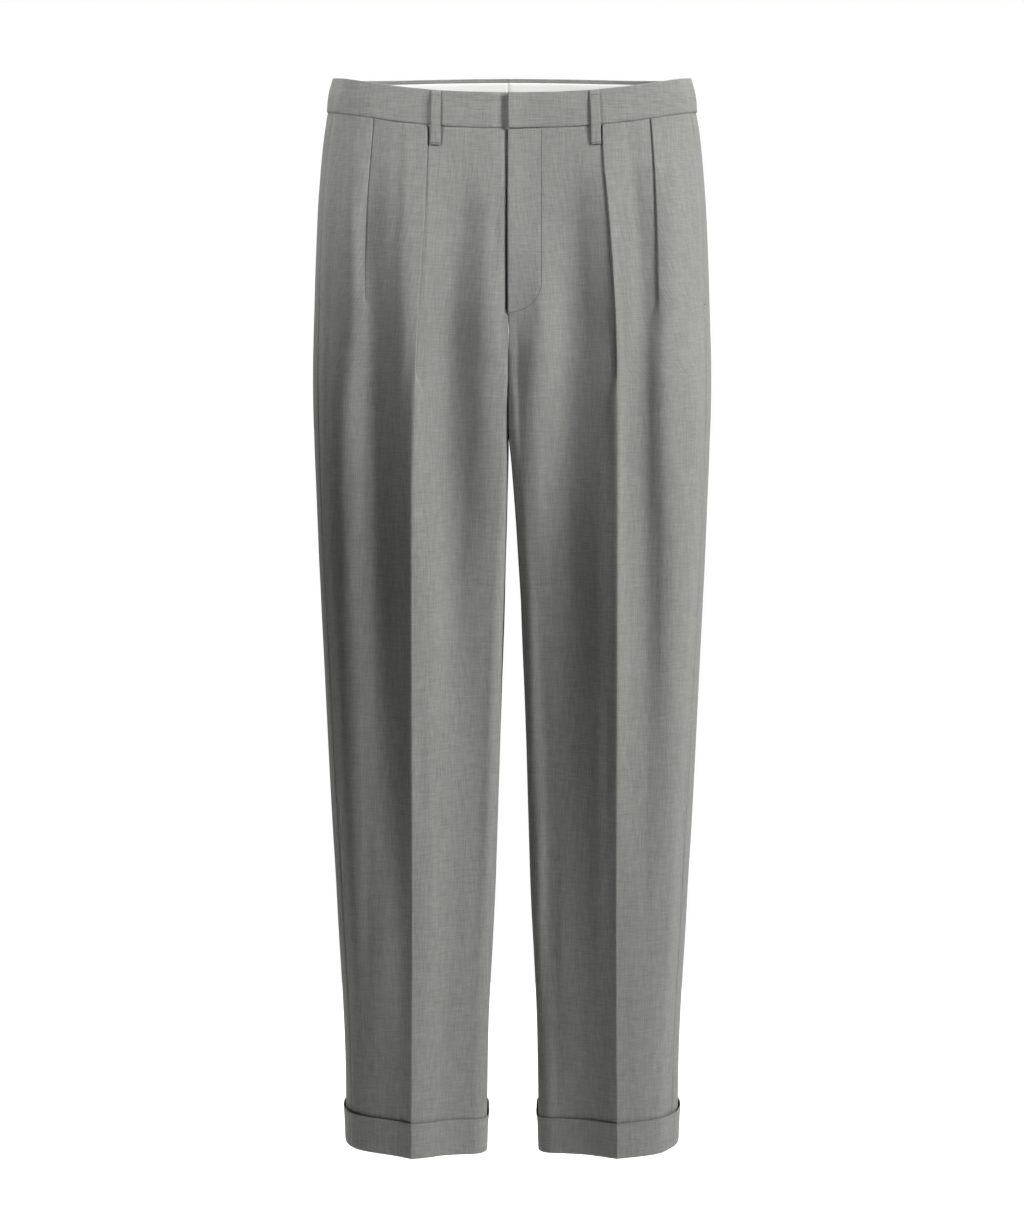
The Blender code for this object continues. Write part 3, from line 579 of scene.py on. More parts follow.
def ripple(stations: Array, values: Array, x: Array) -> Array:
    """Smooth curve through values at stations, flat past the ends.

    Args:
        stations, values: the curve's knots.
        x: where to read it.

    Returns:
        The values there.
    """
    slopes = np.gradient(values, stations)
    x = np.clip(x, stations[0], stations[-1])
    i = np.clip(np.searchsorted(stations, x, side="right") - 1, 0, len(stations) - 2)
    span = stations[i + 1] - stations[i]
    t = (x - stations[i]) / span
    return ((2 * t ** 3 - 3 * t ** 2 + 1) * values[i] + (t ** 3 - 2 * t ** 2 + t) * slopes[i] * span
            + (3 * t ** 2 - 2 * t ** 3) * values[i + 1] + (t ** 3 - t ** 2) * slopes[i + 1] * span)


def swell(outline: Outline, s: Array) -> Array:
    """How far the cloth of a front stands forward of the outline.

    Args:
        outline: the level's outline.
        s: lengths along it.

    Returns:
        Distances towards the viewer's side, -Y, in metres.
    """
    table = SWELL_LEFT if outline.side is Side.LEFT else SWELL_RIGHT
    values = np.array([table.read(f"at{d}", outline.level) for d in SWELL_AT])
    across = np.abs(outline.base(s)[..., 0]) - abs(float(outline.base(outline.crease)[0]))
    inner = 0.012 + 0.010 * float(smooth((-0.30 - outline.level) / 0.05))
    outer = 0.011 + 0.007 * float(smooth((-0.1 - outline.level) / 0.1))
    edge = smooth(s / inner) * smooth((outline.seam - s) / outer)
    return ripple(np.array(SWELL_AT, dtype=float), values, across / MM) * edge * MM


class Relief:
    """Rolls, hollows and pulls of the cloth, as distances outwards."""

    def __init__(self, seed: int) -> None:
        """Fill the lattices of random values that the pulls are read from."""
        random = np.random.default_rng(seed)
        self.lattices = [random.normal(size=(64, 64)) for _ in range(4)]

    def waves(self, s: Array, level: float, width: float, length: float, layer: int) -> Array:
        """Smooth random waves, about 1 high.

        Args:
            s: lengths across.
            level: garment level.
            width, length: size of a wave across and down.
            layer: which lattice of random values.

        Returns:
            Heights, one a length.
        """
        lattice = self.lattices[layer]
        u, v = np.asarray(s) / width + 20.0, -level / length + 3.0
        i, j = np.floor(u).astype(int), int(math.floor(v))
        fu, fv = smooth(u - i), float(smooth(v - j))
        a = lattice[i % 64, j % 64] * (1 - fu) + lattice[(i + 1) % 64, j % 64] * fu
        b = lattice[i % 64, (j + 1) % 64] * (1 - fu) + lattice[(i + 1) % 64, (j + 1) % 64] * fu
        return a * (1 - fv) + b * fv

    def pulls(self, s: Array, level: float) -> Array:
        """Faint long pulls in the hang of the cloth, mm."""
        fade = float(smooth((-0.02 - level) / 0.08)) * float(smooth((level - HEM) / 0.06))
        return fade * (0.38 * self.waves(s, level, 0.021, 0.16, 0)
                       + 0.16 * self.waves(s, level, 0.010, 0.09, 1))

    def puckers(self, s: Array, level: float) -> Array:
        """Short gathers just under the waist seam, mm."""
        depth = -0.016 - level
        fade = float(bell((depth - 0.012) / 0.016)) * float(smooth(depth / 0.006))
        return fade * 0.34 * self.waves(s, level, 0.008, 0.05, 2)


@dataclass(frozen=True)
class SoftFold:
    """One soft fold: a bell-shaped ridge or hollow along a line."""

    top: tuple[float, float]
    low: tuple[float, float]
    height: float
    width: float
    bow: float = 0.0

    def rise(self, s: Array, level: float) -> Array:
        """Distance outwards, mm, that the fold adds at lengths of one level."""
        (s0, z0), (s1, z1) = self.top, self.low
        t = (level - z0) / (z1 - z0)
        if t <= -0.25 or t >= 1.25:
            return np.zeros_like(s)
        fade = float(smooth((t + 0.25) / 0.45) * smooth((1.25 - t) / 0.45))
        middle = s0 + (s1 - s0) * t + self.bow * 4.0 * t * (1.0 - t)
        return self.height * fade * bell((s - middle) / self.width)


# ------------------------------------------------------------------ finishes
class Val:
    """A number or colour socket that adds Math nodes when it is worked with."""

    def __init__(self, shader: "Shader", socket: bpy.types.NodeSocket) -> None:
        """Wrap a socket of a shader's tree."""
        self.shader, self.socket = shader, socket

    def _math(self, operation: str, a: object, b: object) -> "Val":
        """Join two values by a Math node."""
        return self.shader.node("ShaderNodeMath", {"operation": operation}, {0: a, 1: b})

    def __add__(self, other: object) -> "Val":
        """Sum."""
        return self._math("ADD", self, other)

    def __radd__(self, other: object) -> "Val":
        """Sum, reflected."""
        return self._math("ADD", other, self)

    def __sub__(self, other: object) -> "Val":
        """Difference."""
        return self._math("SUBTRACT", self, other)

    def __rsub__(self, other: object) -> "Val":
        """Difference, reflected."""
        return self._math("SUBTRACT", other, self)

    def __mul__(self, other: object) -> "Val":
        """Product."""
        return self._math("MULTIPLY", self, other)

    def __rmul__(self, other: object) -> "Val":
        """Product, reflected."""
        return self._math("MULTIPLY", other, self)

    def sine(self) -> "Val":
        """Sine of the value, radians."""
        return self.shader.node("ShaderNodeMath", {"operation": "SINE"}, {0: self})


class Shader:
    """A material's node tree, built by expressions."""

    def __init__(self, name: str) -> None:
        """Start a material with its Principled shader."""
        self.material = bpy.data.materials.new(name)
        self.material.use_nodes = True
        self.tree = self.material.node_tree
        self.surface = self.tree.nodes["Principled BSDF"]

    def node(self, kind: str, settings: dict[str, object], inputs: dict[object, object],
             output: object = 0) -> Val:
        """Add a node.

        Args:
            kind: the node's type.
            settings: attributes set before the sockets.
            inputs: socket name or number to a value or a Val.
            output: which output to return.

        Returns:
            The output, wrapped.
        """
        made = self.tree.nodes.new(kind)
        for key, value in settings.items():
            setattr(made, key, value)
        for key, value in inputs.items():
            if isinstance(value, Val):
                self.tree.links.new(value.socket, made.inputs[key])
            else:
                made.inputs[key].default_value = value
        return Val(self, made.outputs[output])

    def mix(self, factor: Val, first: Sequence[float] | Val, second: Sequence[float] | Val) -> Val:
        """Mix two colours."""
        mixed = self.tree.nodes.new("ShaderNodeMix")
        mixed.data_type = "RGBA"
        for index, value in ((0, factor), (6, first), (7, second)):
            if isinstance(value, Val):
                self.tree.links.new(value.socket, mixed.inputs[index])
            else:
                mixed.inputs[index].default_value = (*value, 1.0)
        return Val(self, mixed.outputs[2])

    def connect(self, socket: str, value: Val) -> None:
        """Link a value to the Principled shader."""
        self.tree.links.new(value.socket, self.surface.inputs[socket])

    def set(self, **values: float) -> None:
        """Set plain numbers on the Principled shader; _ stands for a space."""
        for key, value in values.items():
            self.surface.inputs[key.replace("_", " ")].default_value = value


@dataclass(frozen=True)
class WoolFinish:
    """Heathered worsted: plain weave, uneven yarns, a dry matt face."""

    name: str = "wool_cloth"
    dark: tuple[float, float, float] = (0.1115, 0.1128, 0.1060)
    light: tuple[float, float, float] = (0.2610, 0.2638, 0.2500)
    warp_contrast: float = 0.92
    weft_contrast: float = 0.74
    yarn: float = 0.85 * MM

    def make(self) -> bpy.types.Material:
        """Build the material on the piece's grain map, which is in metres."""
        shader = Shader(self.name)
        grain = shader.node("ShaderNodeUVMap", {"uv_map": "grain"}, {})
        split = shader.node("ShaderNodeSeparateXYZ", {}, {0: grain})
        across, along = split, Val(shader, split.socket.node.outputs[1])

        def streaks(scale_across: float, scale_along: float, shift: float, detail: float) -> Val:
            """Noise drawn out along one set of yarns."""
            place = shader.node("ShaderNodeCombineXYZ", {}, {
                0: across * scale_across, 1: along * scale_along, 2: shift})
            return shader.node("ShaderNodeTexNoise", {"noise_dimensions": "3D"}, {
                "Vector": place, "Scale": 1.0, "Detail": detail, "Roughness": 0.62}, "Fac")

        warp = streaks(1150.0, 60.0, 1.7, 2.0)
        weft = streaks(75.0, 1250.0, 7.3, 2.0)
        grit = streaks(1500.0, 1500.0, 3.1, 1.0)
        broad = streaks(60.0, 7.0, 11.0, 2.0)
        tone = (0.5 + (warp - 0.5) * self.warp_contrast + (weft - 0.5) * self.weft_contrast
                + (grit - 0.5) * 0.75 + (broad - 0.5) * 0.12)
        shader.connect("Base Color", shader.mix(tone, self.dark, self.light))
        pitch = 2.0 * math.pi / self.yarn
        weave = (across * pitch).sine() * (along * pitch).sine()
        height = weave * 0.35 + warp * 0.9 + weft * 0.8 + grit * 0.5
        bump = shader.node("ShaderNodeBump", {}, {
            "Strength": 0.34, "Distance": 0.0003, "Height": height})
        shader.connect("Normal", bump)
        shader.connect("Roughness", 0.86 + (warp - 0.5) * 0.16)
        shader.set(Sheen_Weight=0.10, Sheen_Roughness=0.45, Specular_IOR_Level=0.22)
        return shader.material


@dataclass(frozen=True)
class LiningFinish:
    """Off-white cotton of the waistband lining."""

    name: str = "lining_cloth"
    colour: tuple[float, float, float] = (0.60, 0.60, 0.58)
    shade: tuple[float, float, float] = (0.54, 0.54, 0.52)

    def make(self) -> bpy.types.Material:
        """Build the material: a fine even weave."""
        shader = Shader(self.name)
        grain = shader.node("ShaderNodeUVMap", {"uv_map": "grain"}, {})
        cloud = shader.node("ShaderNodeTexNoise", {}, {
            "Vector": grain, "Scale": 900.0, "Detail": 2.0}, "Fac")
        shader.connect("Base Color", shader.mix(cloud, self.shade, self.colour))
        bump = shader.node("ShaderNodeBump", {}, {
            "Strength": 0.2, "Distance": 0.0002, "Height": cloud})
        shader.connect("Normal", bump)
        shader.set(Roughness=0.75)
        return shader.material


@dataclass(frozen=True)
class ThreadFinish:
    """Sewing thread, a shade darker than the cloth."""

    name: str = "sewing_thread"
    colour: tuple[float, float, float] = (0.050, 0.051, 0.048)

    def make(self) -> bpy.types.Material:
        """Build the material."""
        shader = Shader(self.name)
        shader.set(Roughness=0.6)
        shader.surface.inputs["Base Color"].default_value = (*self.colour, 1.0)
        return shader.material


@dataclass
class Workshop:
    """The finishes, made once, and the helpers that every piece uses."""

    wool: bpy.types.Material = field(default_factory=lambda: WoolFinish().make())
    lining: bpy.types.Material = field(default_factory=lambda: LiningFinish().make())
    thread: bpy.types.Material = field(default_factory=lambda: ThreadFinish().make())

    def shell(self, name: str, grid: Array, grain: Array, wall: float, side: Side,
              finish: bpy.types.Material, ring: bool = False) -> bpy.types.Object:
        """A closed cloth wall round a grid of points.

        Args:
            name: the piece's name.
            grid: rows by columns by 3, the middle of the wall.
            grain: rows by columns by 2, grain coordinates in metres.
            wall: thickness.
            side: which half, for which way is out.
            finish: the material.
            ring: True when the last column meets the first.

        Returns:
            The new object.
        """
        if ring:
            along = np.roll(grid, -1, axis=1) - np.roll(grid, 1, axis=1)
        else:
            along = np.gradient(grid, axis=1)
        down = np.gradient(grid, axis=0)
        normal = np.cross(down, along) * side.value
        normal /= np.maximum(1e-12, np.linalg.norm(normal, axis=2))[..., None]
        rows, cols = grid.shape[:2]
        thick = np.full((rows, cols), wall / 2)
        for index, share in EDGE_SHARES:
            borders = [thick[index], thick[-1 - index]]
            if not ring:
                borders += [thick[:, index], thick[:, -1 - index]]
            for border in borders:
                np.minimum(border, share * wall / 2, out=border)
        outer = grid + normal * thick[..., None]
        inner = grid - normal * thick[..., None]
        points = np.concatenate((outer.reshape(-1, 3), inner.reshape(-1, 3)))
        coords = np.concatenate((grain.reshape(-1, 2), grain.reshape(-1, 2)))
        index = np.arange(rows * cols).reshape(rows, cols)
        wrap = np.concatenate((index, index[:, :1]), axis=1) if ring else index
        a, b = wrap[:-1, :-1], wrap[:-1, 1:]
        c, d = wrap[1:, 1:], wrap[1:, :-1]
        face = np.stack((a, d, c, b), axis=-1).reshape(-1, 4)
        flip = side is Side.RIGHT
        if flip:
            face = face[:, ::-1]
        back = face[:, ::-1] + rows * cols
        rims = []

        def rim(line: Array, turned: bool) -> None:
            """Close the wall along a border line.

            Args:
                line: the outer points along it.
                turned: True when its faces are wound the other way.
            """
            p, q = line[:-1], line[1:]
            quad = np.stack((p, q, q + rows * cols, p + rows * cols), axis=-1)
            rims.append(quad[:, ::-1] if turned else quad)

        rim(wrap[0], flip)
        rim(wrap[-1], not flip)
        if not ring:
            rim(index[:, 0], not flip)
            rim(index[:, -1], flip)
        faces = np.concatenate([face, back] + rims)
        mesh = bpy.data.meshes.new(name)
        mesh.from_pydata(points.tolist(), [], faces.tolist())
        layer = mesh.uv_layers.new(name="grain")
        corners = np.array([loop.vertex_index for loop in mesh.loops])
        layer.data.foreach_set("uv", coords[corners].astype(np.float32).ravel())
        mesh.polygons.foreach_set("use_smooth", [True] * len(mesh.polygons))
        mesh.materials.append(finish)
        mesh.update()
        piece = bpy.data.objects.new(name, mesh)
        bpy.context.scene.collection.objects.link(piece)
        return piece

    def one_stitch(self) -> bpy.types.Object:
        """A stitch one unit long and wide, along Z, with rounded ends."""
        bpy.ops.object.select_all(action="DESELECT")
        bpy.ops.mesh.primitive_cylinder_add(vertices=6, radius=0.5, depth=1.0)
        stitch = bpy.context.active_object
        for polygon in stitch.data.polygons:
            polygon.select = abs(polygon.normal.z) > 0.9
        bpy.ops.object.mode_set(mode="EDIT")
        bpy.ops.mesh.select_mode(type="FACE")
        bpy.ops.mesh.inset(thickness=0.16, depth=0.14)
        bpy.ops.object.mode_set(mode="OBJECT")
        bpy.ops.object.shade_smooth()
        return stitch

    def stitches(self, name: str, path: Sequence[Vector], outs: Sequence[Vector],
                 length: float, width: float, rise: float) -> bpy.types.Object:
        """A row of small stitches, one at each point of a path.

        Args:
            name: the piece's name.
            path: middle of each stitch.
            outs: which way is out at each stitch.
            length: length of a stitch along the path.
            width: width across.
            rise: how proud it stands.

        Returns:
            The new object.
        """
        pattern, copies, count = self.one_stitch(), [], len(path)
        for i, middle in enumerate(path):
            ahead = (path[min(count - 1, i + 1)] - path[max(0, i - 1)]).normalized()
            across = ahead.cross(outs[i]).normalized()
            out = across.cross(ahead).normalized()
            turned = Matrix((across * width, out * (2.0 * rise), ahead * length)).transposed()
            copy = pattern.copy()
            copy.data = pattern.data.copy()
            copy.data.transform(Matrix.Translation(middle) @ turned.to_4x4())
            bpy.context.scene.collection.objects.link(copy)
            copies.append(copy)
        bpy.data.objects.remove(pattern)
        bpy.ops.object.select_all(action="DESELECT")
        for copy in copies:
            copy.select_set(True)
        bpy.context.view_layer.objects.active = copies[0]
        bpy.ops.object.join()
        piece = copies[0]
        piece.name = piece.data.name = name
        bpy.ops.object.mode_set(mode="EDIT")
        bpy.ops.mesh.select_all(action="SELECT")
        bpy.ops.mesh.normals_make_consistent(inside=False)
        bpy.ops.object.mode_set(mode="OBJECT")
        piece.data.materials.append(self.thread)
        return piece


def tuck(distance: Array | float, depth: float = 1.0 * MM, width: float = 2.0 * MM) -> Array:
    """How far the cloth turns in beside a seam.

    Args:
        distance: from the seam.
        depth: at the seam.
        width: where the turn ends.

    Returns:
        Distances inwards, metres.
    """
    near = np.clip(1.0 - np.asarray(distance) / width, 0.0, 1.0)
    return depth * near * near


def fly_curve(s: Array, level: float) -> Array:
    """Signed distance from the stitched line of the fly.

    Args:
        s: lengths along the outline.
        level: garment level.

    Returns:
        Distances, metres, below 0 towards the fly.
    """
    if level > FLY_TURN:
        return s - FLY_WIDTH
    down = (FLY_TURN - level) / FLY_FOOT
    f = np.square(s / FLY_WIDTH) + down * down - 1.0
    slope = np.hypot(2 * s / FLY_WIDTH ** 2, 2 * down / FLY_FOOT)
    return f / np.maximum(slope, 1e-6)


def fly_open(level: float) -> float:
    """1 at the levels where the fly opens, 0 below them."""
    return float(smooth((level - FLY_END + 0.004) / 0.004))


@dataclass
class FrontPanel:
    """A front: fly edge, two forward pleats, pressed crease, pocket mouth."""

    side: Side
    shop: Workshop
    relief: Relief
    first: Pleat = field(default_factory=lambda: Pleat(FIRST_PLEAT, reach_after=29 * MM))
    second: Pleat = field(default_factory=lambda: Pleat(SECOND_PLEAT, reach_after=32 * MM))
    overlap: float = 1.2 * MM
    groove: float = 0.20 * MM
    under: float = 2.7 * MM
    gap: float = 1.7 * MM

    def shape(self, outline: Outline, s: Array) -> Array:
        """Distance outwards, metres, that pulls and puckers add.

        Args:
            outline: the level's outline.
            s: lengths along it.

        Returns:
            Distances outwards.
        """
        level = outline.level
        out = self.relief.pulls(s - outline.crease, level) * smooth(s / 0.02)
        return (out + self.relief.puckers(s, level)) * MM

    def fly(self, s: Array, level: float) -> Array:
        """Lift of the overlap on the left, fall under it on the right.

        Args:
            s: lengths along the outline.
            level: garment level.

        Returns:
            Distances outwards.
        """
        if self.side is Side.RIGHT:
            near = np.square(np.clip(1.0 - s / (9 * MM), 0.0, 1.0))
            return -self.under * fly_open(level) * near
        lift = self.overlap * (1.0 - smooth(s / (14 * MM)))
        groove = self.groove * bell(fly_curve(s, level) / (1.3 * MM))
        low = float(smooth((level - FLY_END + 0.006) / 0.003))
        return lift * fly_open(level) - groove * low

    def line(self, level: float) -> tuple[Array, Array, float]:
        """Points of one level.

        Args:
            level: garment level.

        Returns:
            Lengths along the outline, distances outwards, and length of the crease.
        """
        outline = Outline.of(level, self.side)
        s1, n1 = self.first.knots(outline.crease, level)
        s2, n2 = self.second.knots(outline.pleat, level)
        start = 0.0
        if self.side is Side.RIGHT:
            ajar = 0.2 + 0.8 * float(smooth((-0.03 - level) / 0.07))
            start = self.gap * ajar * float(smooth((level - FLY_END) / 0.002))
        stop = s1[0]
        flat = 1.0 - float(smooth(outline.lip / 0.020))
        low = max(outline.lip_start + 8 * MM * flat, start + 8 * MM)
        high = outline.lip + 16 * MM * flat
        inner = start + EDGE_STEPS
        inner = np.concatenate((inner, spread(inner[-1], low, 5)[1:], spread(low, high, 11)[1:],
                                spread(high, high + 20 * MM, 18)[1:],
                                spread(high + 20 * MM, stop, 14)[1:-1]))
        last = outline.seam - SEAM_GAP / 2
        gap = spread(s1[-1], max(s2[0], s1[-1] + 1 * MM), 9)[1:-1]
        shift = max(0.0, s1[-1] + 1 * MM - s2[0])
        rest = spread(s2[-1] + shift, last - EDGE_STEPS[-1], 16)[1:-1]
        s = np.concatenate((inner, s1, gap, s2 + shift, rest, last - EDGE_STEPS[::-1]))
        n = np.concatenate((np.zeros_like(inner), n1, np.zeros_like(gap), n2,
                            np.zeros(len(rest) + len(EDGE_STEPS))))
        n = n + self.shape(outline, s) + self.fly(s, level)
        pocket = float(smooth((POCKET_TOP - level) / 0.006) * smooth((level - POCKET_END) / 0.006))
        n = n - tuck(last - s, 1.0 * MM * (1.0 - pocket))
        n = n + 0.25 * MM * pocket * bell((last - s) / 0.006)
        apart = float(smooth((-0.205 - level) / 0.015))
        n = n - tuck(s - start) * (1.0 - fly_open(level)) * (1.0 - apart)
        n = n - tuck(PANEL_TOP - level, 0.95 * MM)
        return s, n, outline.crease

    def build(self) -> bpy.types.Object:
        """Make the panel."""
        rows, grain = [], []
        for level in panel_levels():
            s, n, crease = self.line(level)
            points = Outline.of(level, self.side).drape(s, n)
            steps = np.linalg.norm(np.diff(points[:, :2], axis=0), axis=1)
            run = np.concatenate(([0.0], np.cumsum(steps)))
            run -= np.interp(crease, np.maximum.accumulate(s), run)
            rows.append(points)
            grain.append(np.stack((run, points[:, 2]), axis=1))
        name = f"cloth_front_{self.side.tag}"
        piece = self.shop.shell(name, np.array(rows), np.array(grain), CLOTH, self.side,
                                self.shop.wool)
        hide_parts(f"front_{self.side.tag}")
        return piece


@dataclass
class BackPanel:
    """A back: plain over the seat, with a softer pressed crease."""

    side: Side
    shop: Workshop
    relief: Relief
    folds: tuple[SoftFold, ...] = ()

    def build(self) -> bpy.types.Object:
        """Make the panel."""
        rows, grain = [], []
        for level in panel_levels():
            outline = Outline.of(level, self.side)
            first, last = outline.seam + SEAM_GAP / 2, outline.end
            crease = outline.back
            flat = 1.0 - float(smooth((last - outline.back_lip) / 0.045))
            high = outline.back_lip - 18 * MM * flat
            s = np.concatenate((first + EDGE_STEPS,
                                spread(first + EDGE_STEPS[-1], crease - 8 * MM, 34)[1:],
                                crease + np.array([-5, -3, -1.5, 0, 1.5, 3, 5, 8]) * MM,
                                spread(crease + 8 * MM, high, 16)[1:],
                                spread(high, last - EDGE_STEPS[-1], 22)[1:-1],
                                last - EDGE_STEPS[::-1]))
            out = self.relief.pulls(s - crease + 0.7, level) * smooth((s - first) / 0.02)
            out = out * smooth((last - s) / 0.02) + self.relief.puckers(s + 0.7, level)
            for fold in self.folds:
                out = out + fold.rise(s - crease, level)
            pressed = float(smooth((-0.24 - level) / 0.12))
            out = out + 0.5 * pressed * bell((s - crease) / 0.004)
            apart = float(smooth((-0.18 - level) / 0.02))
            n = out * MM - tuck(s - first) - tuck(last - s) * (1.0 - apart)
            n = n - tuck(PANEL_TOP - level, 0.7 * MM)
            points = outline.at(s, n)
            rows.append(points)
            grain.append(np.stack((s - crease + 1.3, points[:, 2]), axis=1))
        name = f"cloth_back_{self.side.tag}"
        piece = self.shop.shell(name, np.array(rows), np.array(grain), CLOTH, self.side,
                                self.shop.wool)
        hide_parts(f"back_{self.side.tag}")
        return piece


def strip(shop: Workshop, name: str, side: Side, levels: Sequence[float],
          line: Callable[[Outline], tuple[Array, Array]], wall: float,
          finish: bpy.types.Material, grain_turned: bool = False) -> bpy.types.Object:
    """A plain cloth piece over some levels.

    Args:
        shop: the finishes.
        name: the piece's name.
        side: which half.
        levels: its rows.
        line: gives the lengths and distances outwards of a row.
        wall: thickness.
        finish: the material.
        grain_turned: True when the grain runs round the body.

    Returns:
        The new object.
    """
    rows, grain = [], []
    for level in levels:
        outline = Outline.of(level, side)
        s, n = line(outline)
        points = outline.drape(s, n)
        rows.append(points)
        pair = (points[:, 2], s + 2.1) if grain_turned else (s + 2.1, points[:, 2])
        grain.append(np.stack(pair, axis=1))
    return shop.shell(name, np.array(rows), np.array(grain), wall, side, finish)


@dataclass
class Waistband:
    """Both waistband halves, their lining and the hidden tab."""

    shop: Workshop
    relief: Relief
    out: float = 0.6 * MM
    end_gap: float = 0.02 * MM

    def levels(self) -> Array:
        """Rows from the top edge to the waist seam."""
        edge = np.array([0.0, 0.3, 0.8, 1.6, 2.8]) * MM
        inside = np.linspace(BAND_TOP - 0.0050, BAND_SEAM + 0.0050, 9)
        return np.concatenate((BAND_TOP - edge, inside, (BAND_SEAM + edge)[::-1]))

    def profile(self, s: Array, level: float) -> Array:
        """Distance outwards of the band's face at a level.

        Args:
            s: lengths along the outline.
            level: garment level.

        Returns:
            Distances outwards.
        """
        up = (level - BAND_SEAM) / (BAND_TOP - BAND_SEAM)
        belly = 0.45 * MM * math.sin(math.pi * min(1.0, max(0.0, up)))
        wave = 0.20 * MM * self.relief.waves(s, level, 0.03, 0.05, 3)
        seam = tuck(level - BAND_SEAM, 1.1 * MM)
        return self.out + belly + wave - seam

    def left(self) -> bpy.types.Object:
        """The wearer's left half, whose end laps over the right."""
        def line(outline: Outline) -> tuple[Array, Array]:
            """Lengths and distances outwards of a row, from its outline."""
            end = outline.end - self.end_gap
            inside = spread(EDGE_STEPS[-1], end - EDGE_STEPS[-1], 130)[1:-1]
            s = np.concatenate((EDGE_STEPS, inside, end - EDGE_STEPS[::-1]))
            lap = 2.8 * MM * (1.0 - smooth(s / (18 * MM)))
            n = self.profile(s, outline.level) + lap - tuck(outline.end - s, 0.8 * MM)
            return s, n
        piece = strip(self.shop, "band_left", Side.LEFT, self.levels(), line, BAND_CLOTH,
                      self.shop.wool, True)
        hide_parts("waistband_left")
        return piece

    def right(self) -> bpy.types.Object:
        """The right half, with the tab that runs in under the left one."""
        rows, grain = [], []
        tab = self.out - BAND_CLOTH - 0.35 * MM
        for level in self.levels():
            left, right = Outline.of(level, Side.LEFT), Outline.of(level, Side.RIGHT)
            under = np.array([32.0, 31.5, 31.0, 26.0, 20.0, 14.0, 8.0, 3.0]) * MM
            end = right.end - self.end_gap
            inside = spread(20 * MM, end - EDGE_STEPS[-1], 124)[1:-1]
            s = np.concatenate((spread(2 * MM, 20 * MM, 16), inside, end - EDGE_STEPS[::-1]))
            rise = smooth((s - 2 * MM) / (15 * MM))
            n = tab + (self.profile(s, level) - tab) * rise - tuck(right.end - s, 0.8 * MM)
            hidden = left.drape(under, np.full(len(under), tab))
            points = np.concatenate((hidden, right.drape(s, n)))
            run = np.concatenate((-under, s)) + 5.2
            rows.append(points)
            grain.append(np.stack((points[:, 2], run), axis=1))
        piece = self.shop.shell("band_right", np.array(rows), np.array(grain), BAND_CLOTH,
                                Side.RIGHT, self.shop.wool)
        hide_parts("waistband_right")
        return piece

    def lining(self, side: Side) -> bpy.types.Object:
        """Off-white lining inside the back half."""
        def line(outline: Outline) -> tuple[Array, Array]:
            """Lengths and distances outwards of a row, from its outline."""
            start, end = outline.outer - 60 * MM, outline.end - 0.04 * MM
            s = spread(start, end, 90)
            ripple_in = 0.12 * MM * self.relief.waves(s, outline.level, 0.02, 0.03, 2)
            return s, np.full(len(s), self.out - BAND_CLOTH / 2 - 0.75 * MM) + ripple_in
        levels = np.linspace(0.0130, -0.0152, 12)
        piece = strip(self.shop, f"band_lining_{side.tag}", side, levels, line, LINING_CLOTH,
                      self.shop.lining, True)
        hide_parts(f"waistband_lining_{side.tag}")
        return piece


@dataclass
class BeltLoop:
    """A belt loop, caught at both ends and standing off the band between."""

    name: str
    side: Side
    on_back: bool
    top_x: float
    low_x: float
    shop: Workshop
    wall: float = 1.15 * MM
    line: tuple[tuple[float, float], ...] = (
        (0.0168, 1.95), (0.0160, 2.20), (0.0145, 2.60), (0.0120, 3.10), (0.0040, 4.00),
        (-0.0030, 4.15), (-0.0100, 3.90), (-0.0160, 3.30), (-0.0220, 2.70), (-0.0280, 2.20),
        (-0.0320, 1.85), (-0.0333, 1.70), (-0.0340, 1.45))

    def build(self) -> tuple[bpy.types.Object, bpy.types.Object]:
        """Make the loop and its tacks."""
        rows, grain, tacks, outs = [], [], [], []
        levels = np.array([p[0] for p in self.line])
        dense = np.concatenate((levels[:3], np.linspace(levels[3], levels[-4], 22), levels[-3:]))
        across = np.array([-4.5, -4.35, -4.0, -3.3, -2.0, 0.0, 2.0, 3.3, 4.0, 4.35, 4.5]) * MM
        for level in dense:
            out = float(np.interp(-level, -levels, [p[1] for p in self.line])) * MM
            outline = Outline.of(float(level), self.side)
            share = (levels[0] - level) / (levels[0] - levels[-1])
            x = self.top_x + (self.low_x - self.top_x) * share
            if self.on_back:
                middle = outline.reach_x(x, outline.outer, outline.end, falling=True)
            else:
                middle = outline.reach_x(x, 0.0, outline.outer)
            edge = 0.30 * MM * np.power(np.abs(across) / (4.5 * MM), 6)
            points = outline.drape(middle + across, out - edge)
            rows.append(points)
            grain.append(np.stack((across + 7.7, points[:, 2]), axis=1))
            for target in (levels[3], levels[-3]):
                if abs(level - target) < 1e-6:
                    places = middle + np.linspace(-3.4, 3.4, 7) * MM
                    spots = outline.drape(places, np.full(7, out + self.wall / 2))
                    deeper = outline.drape(places, np.full(7, out))
                    tacks += [Vector(p) for p in spots]
                    outs += [Vector(p - q) for p, q in zip(spots, deeper)]
        piece = self.shop.shell(f"belt_{self.name}", np.array(rows), np.array(grain), self.wall,
                                self.side, self.shop.wool)
        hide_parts(self.name)
        tack = self.shop.stitches(f"tack_{self.name}", tacks, outs, 1.1 * MM, 0.45 * MM, 0.10 * MM)
        return piece, tack


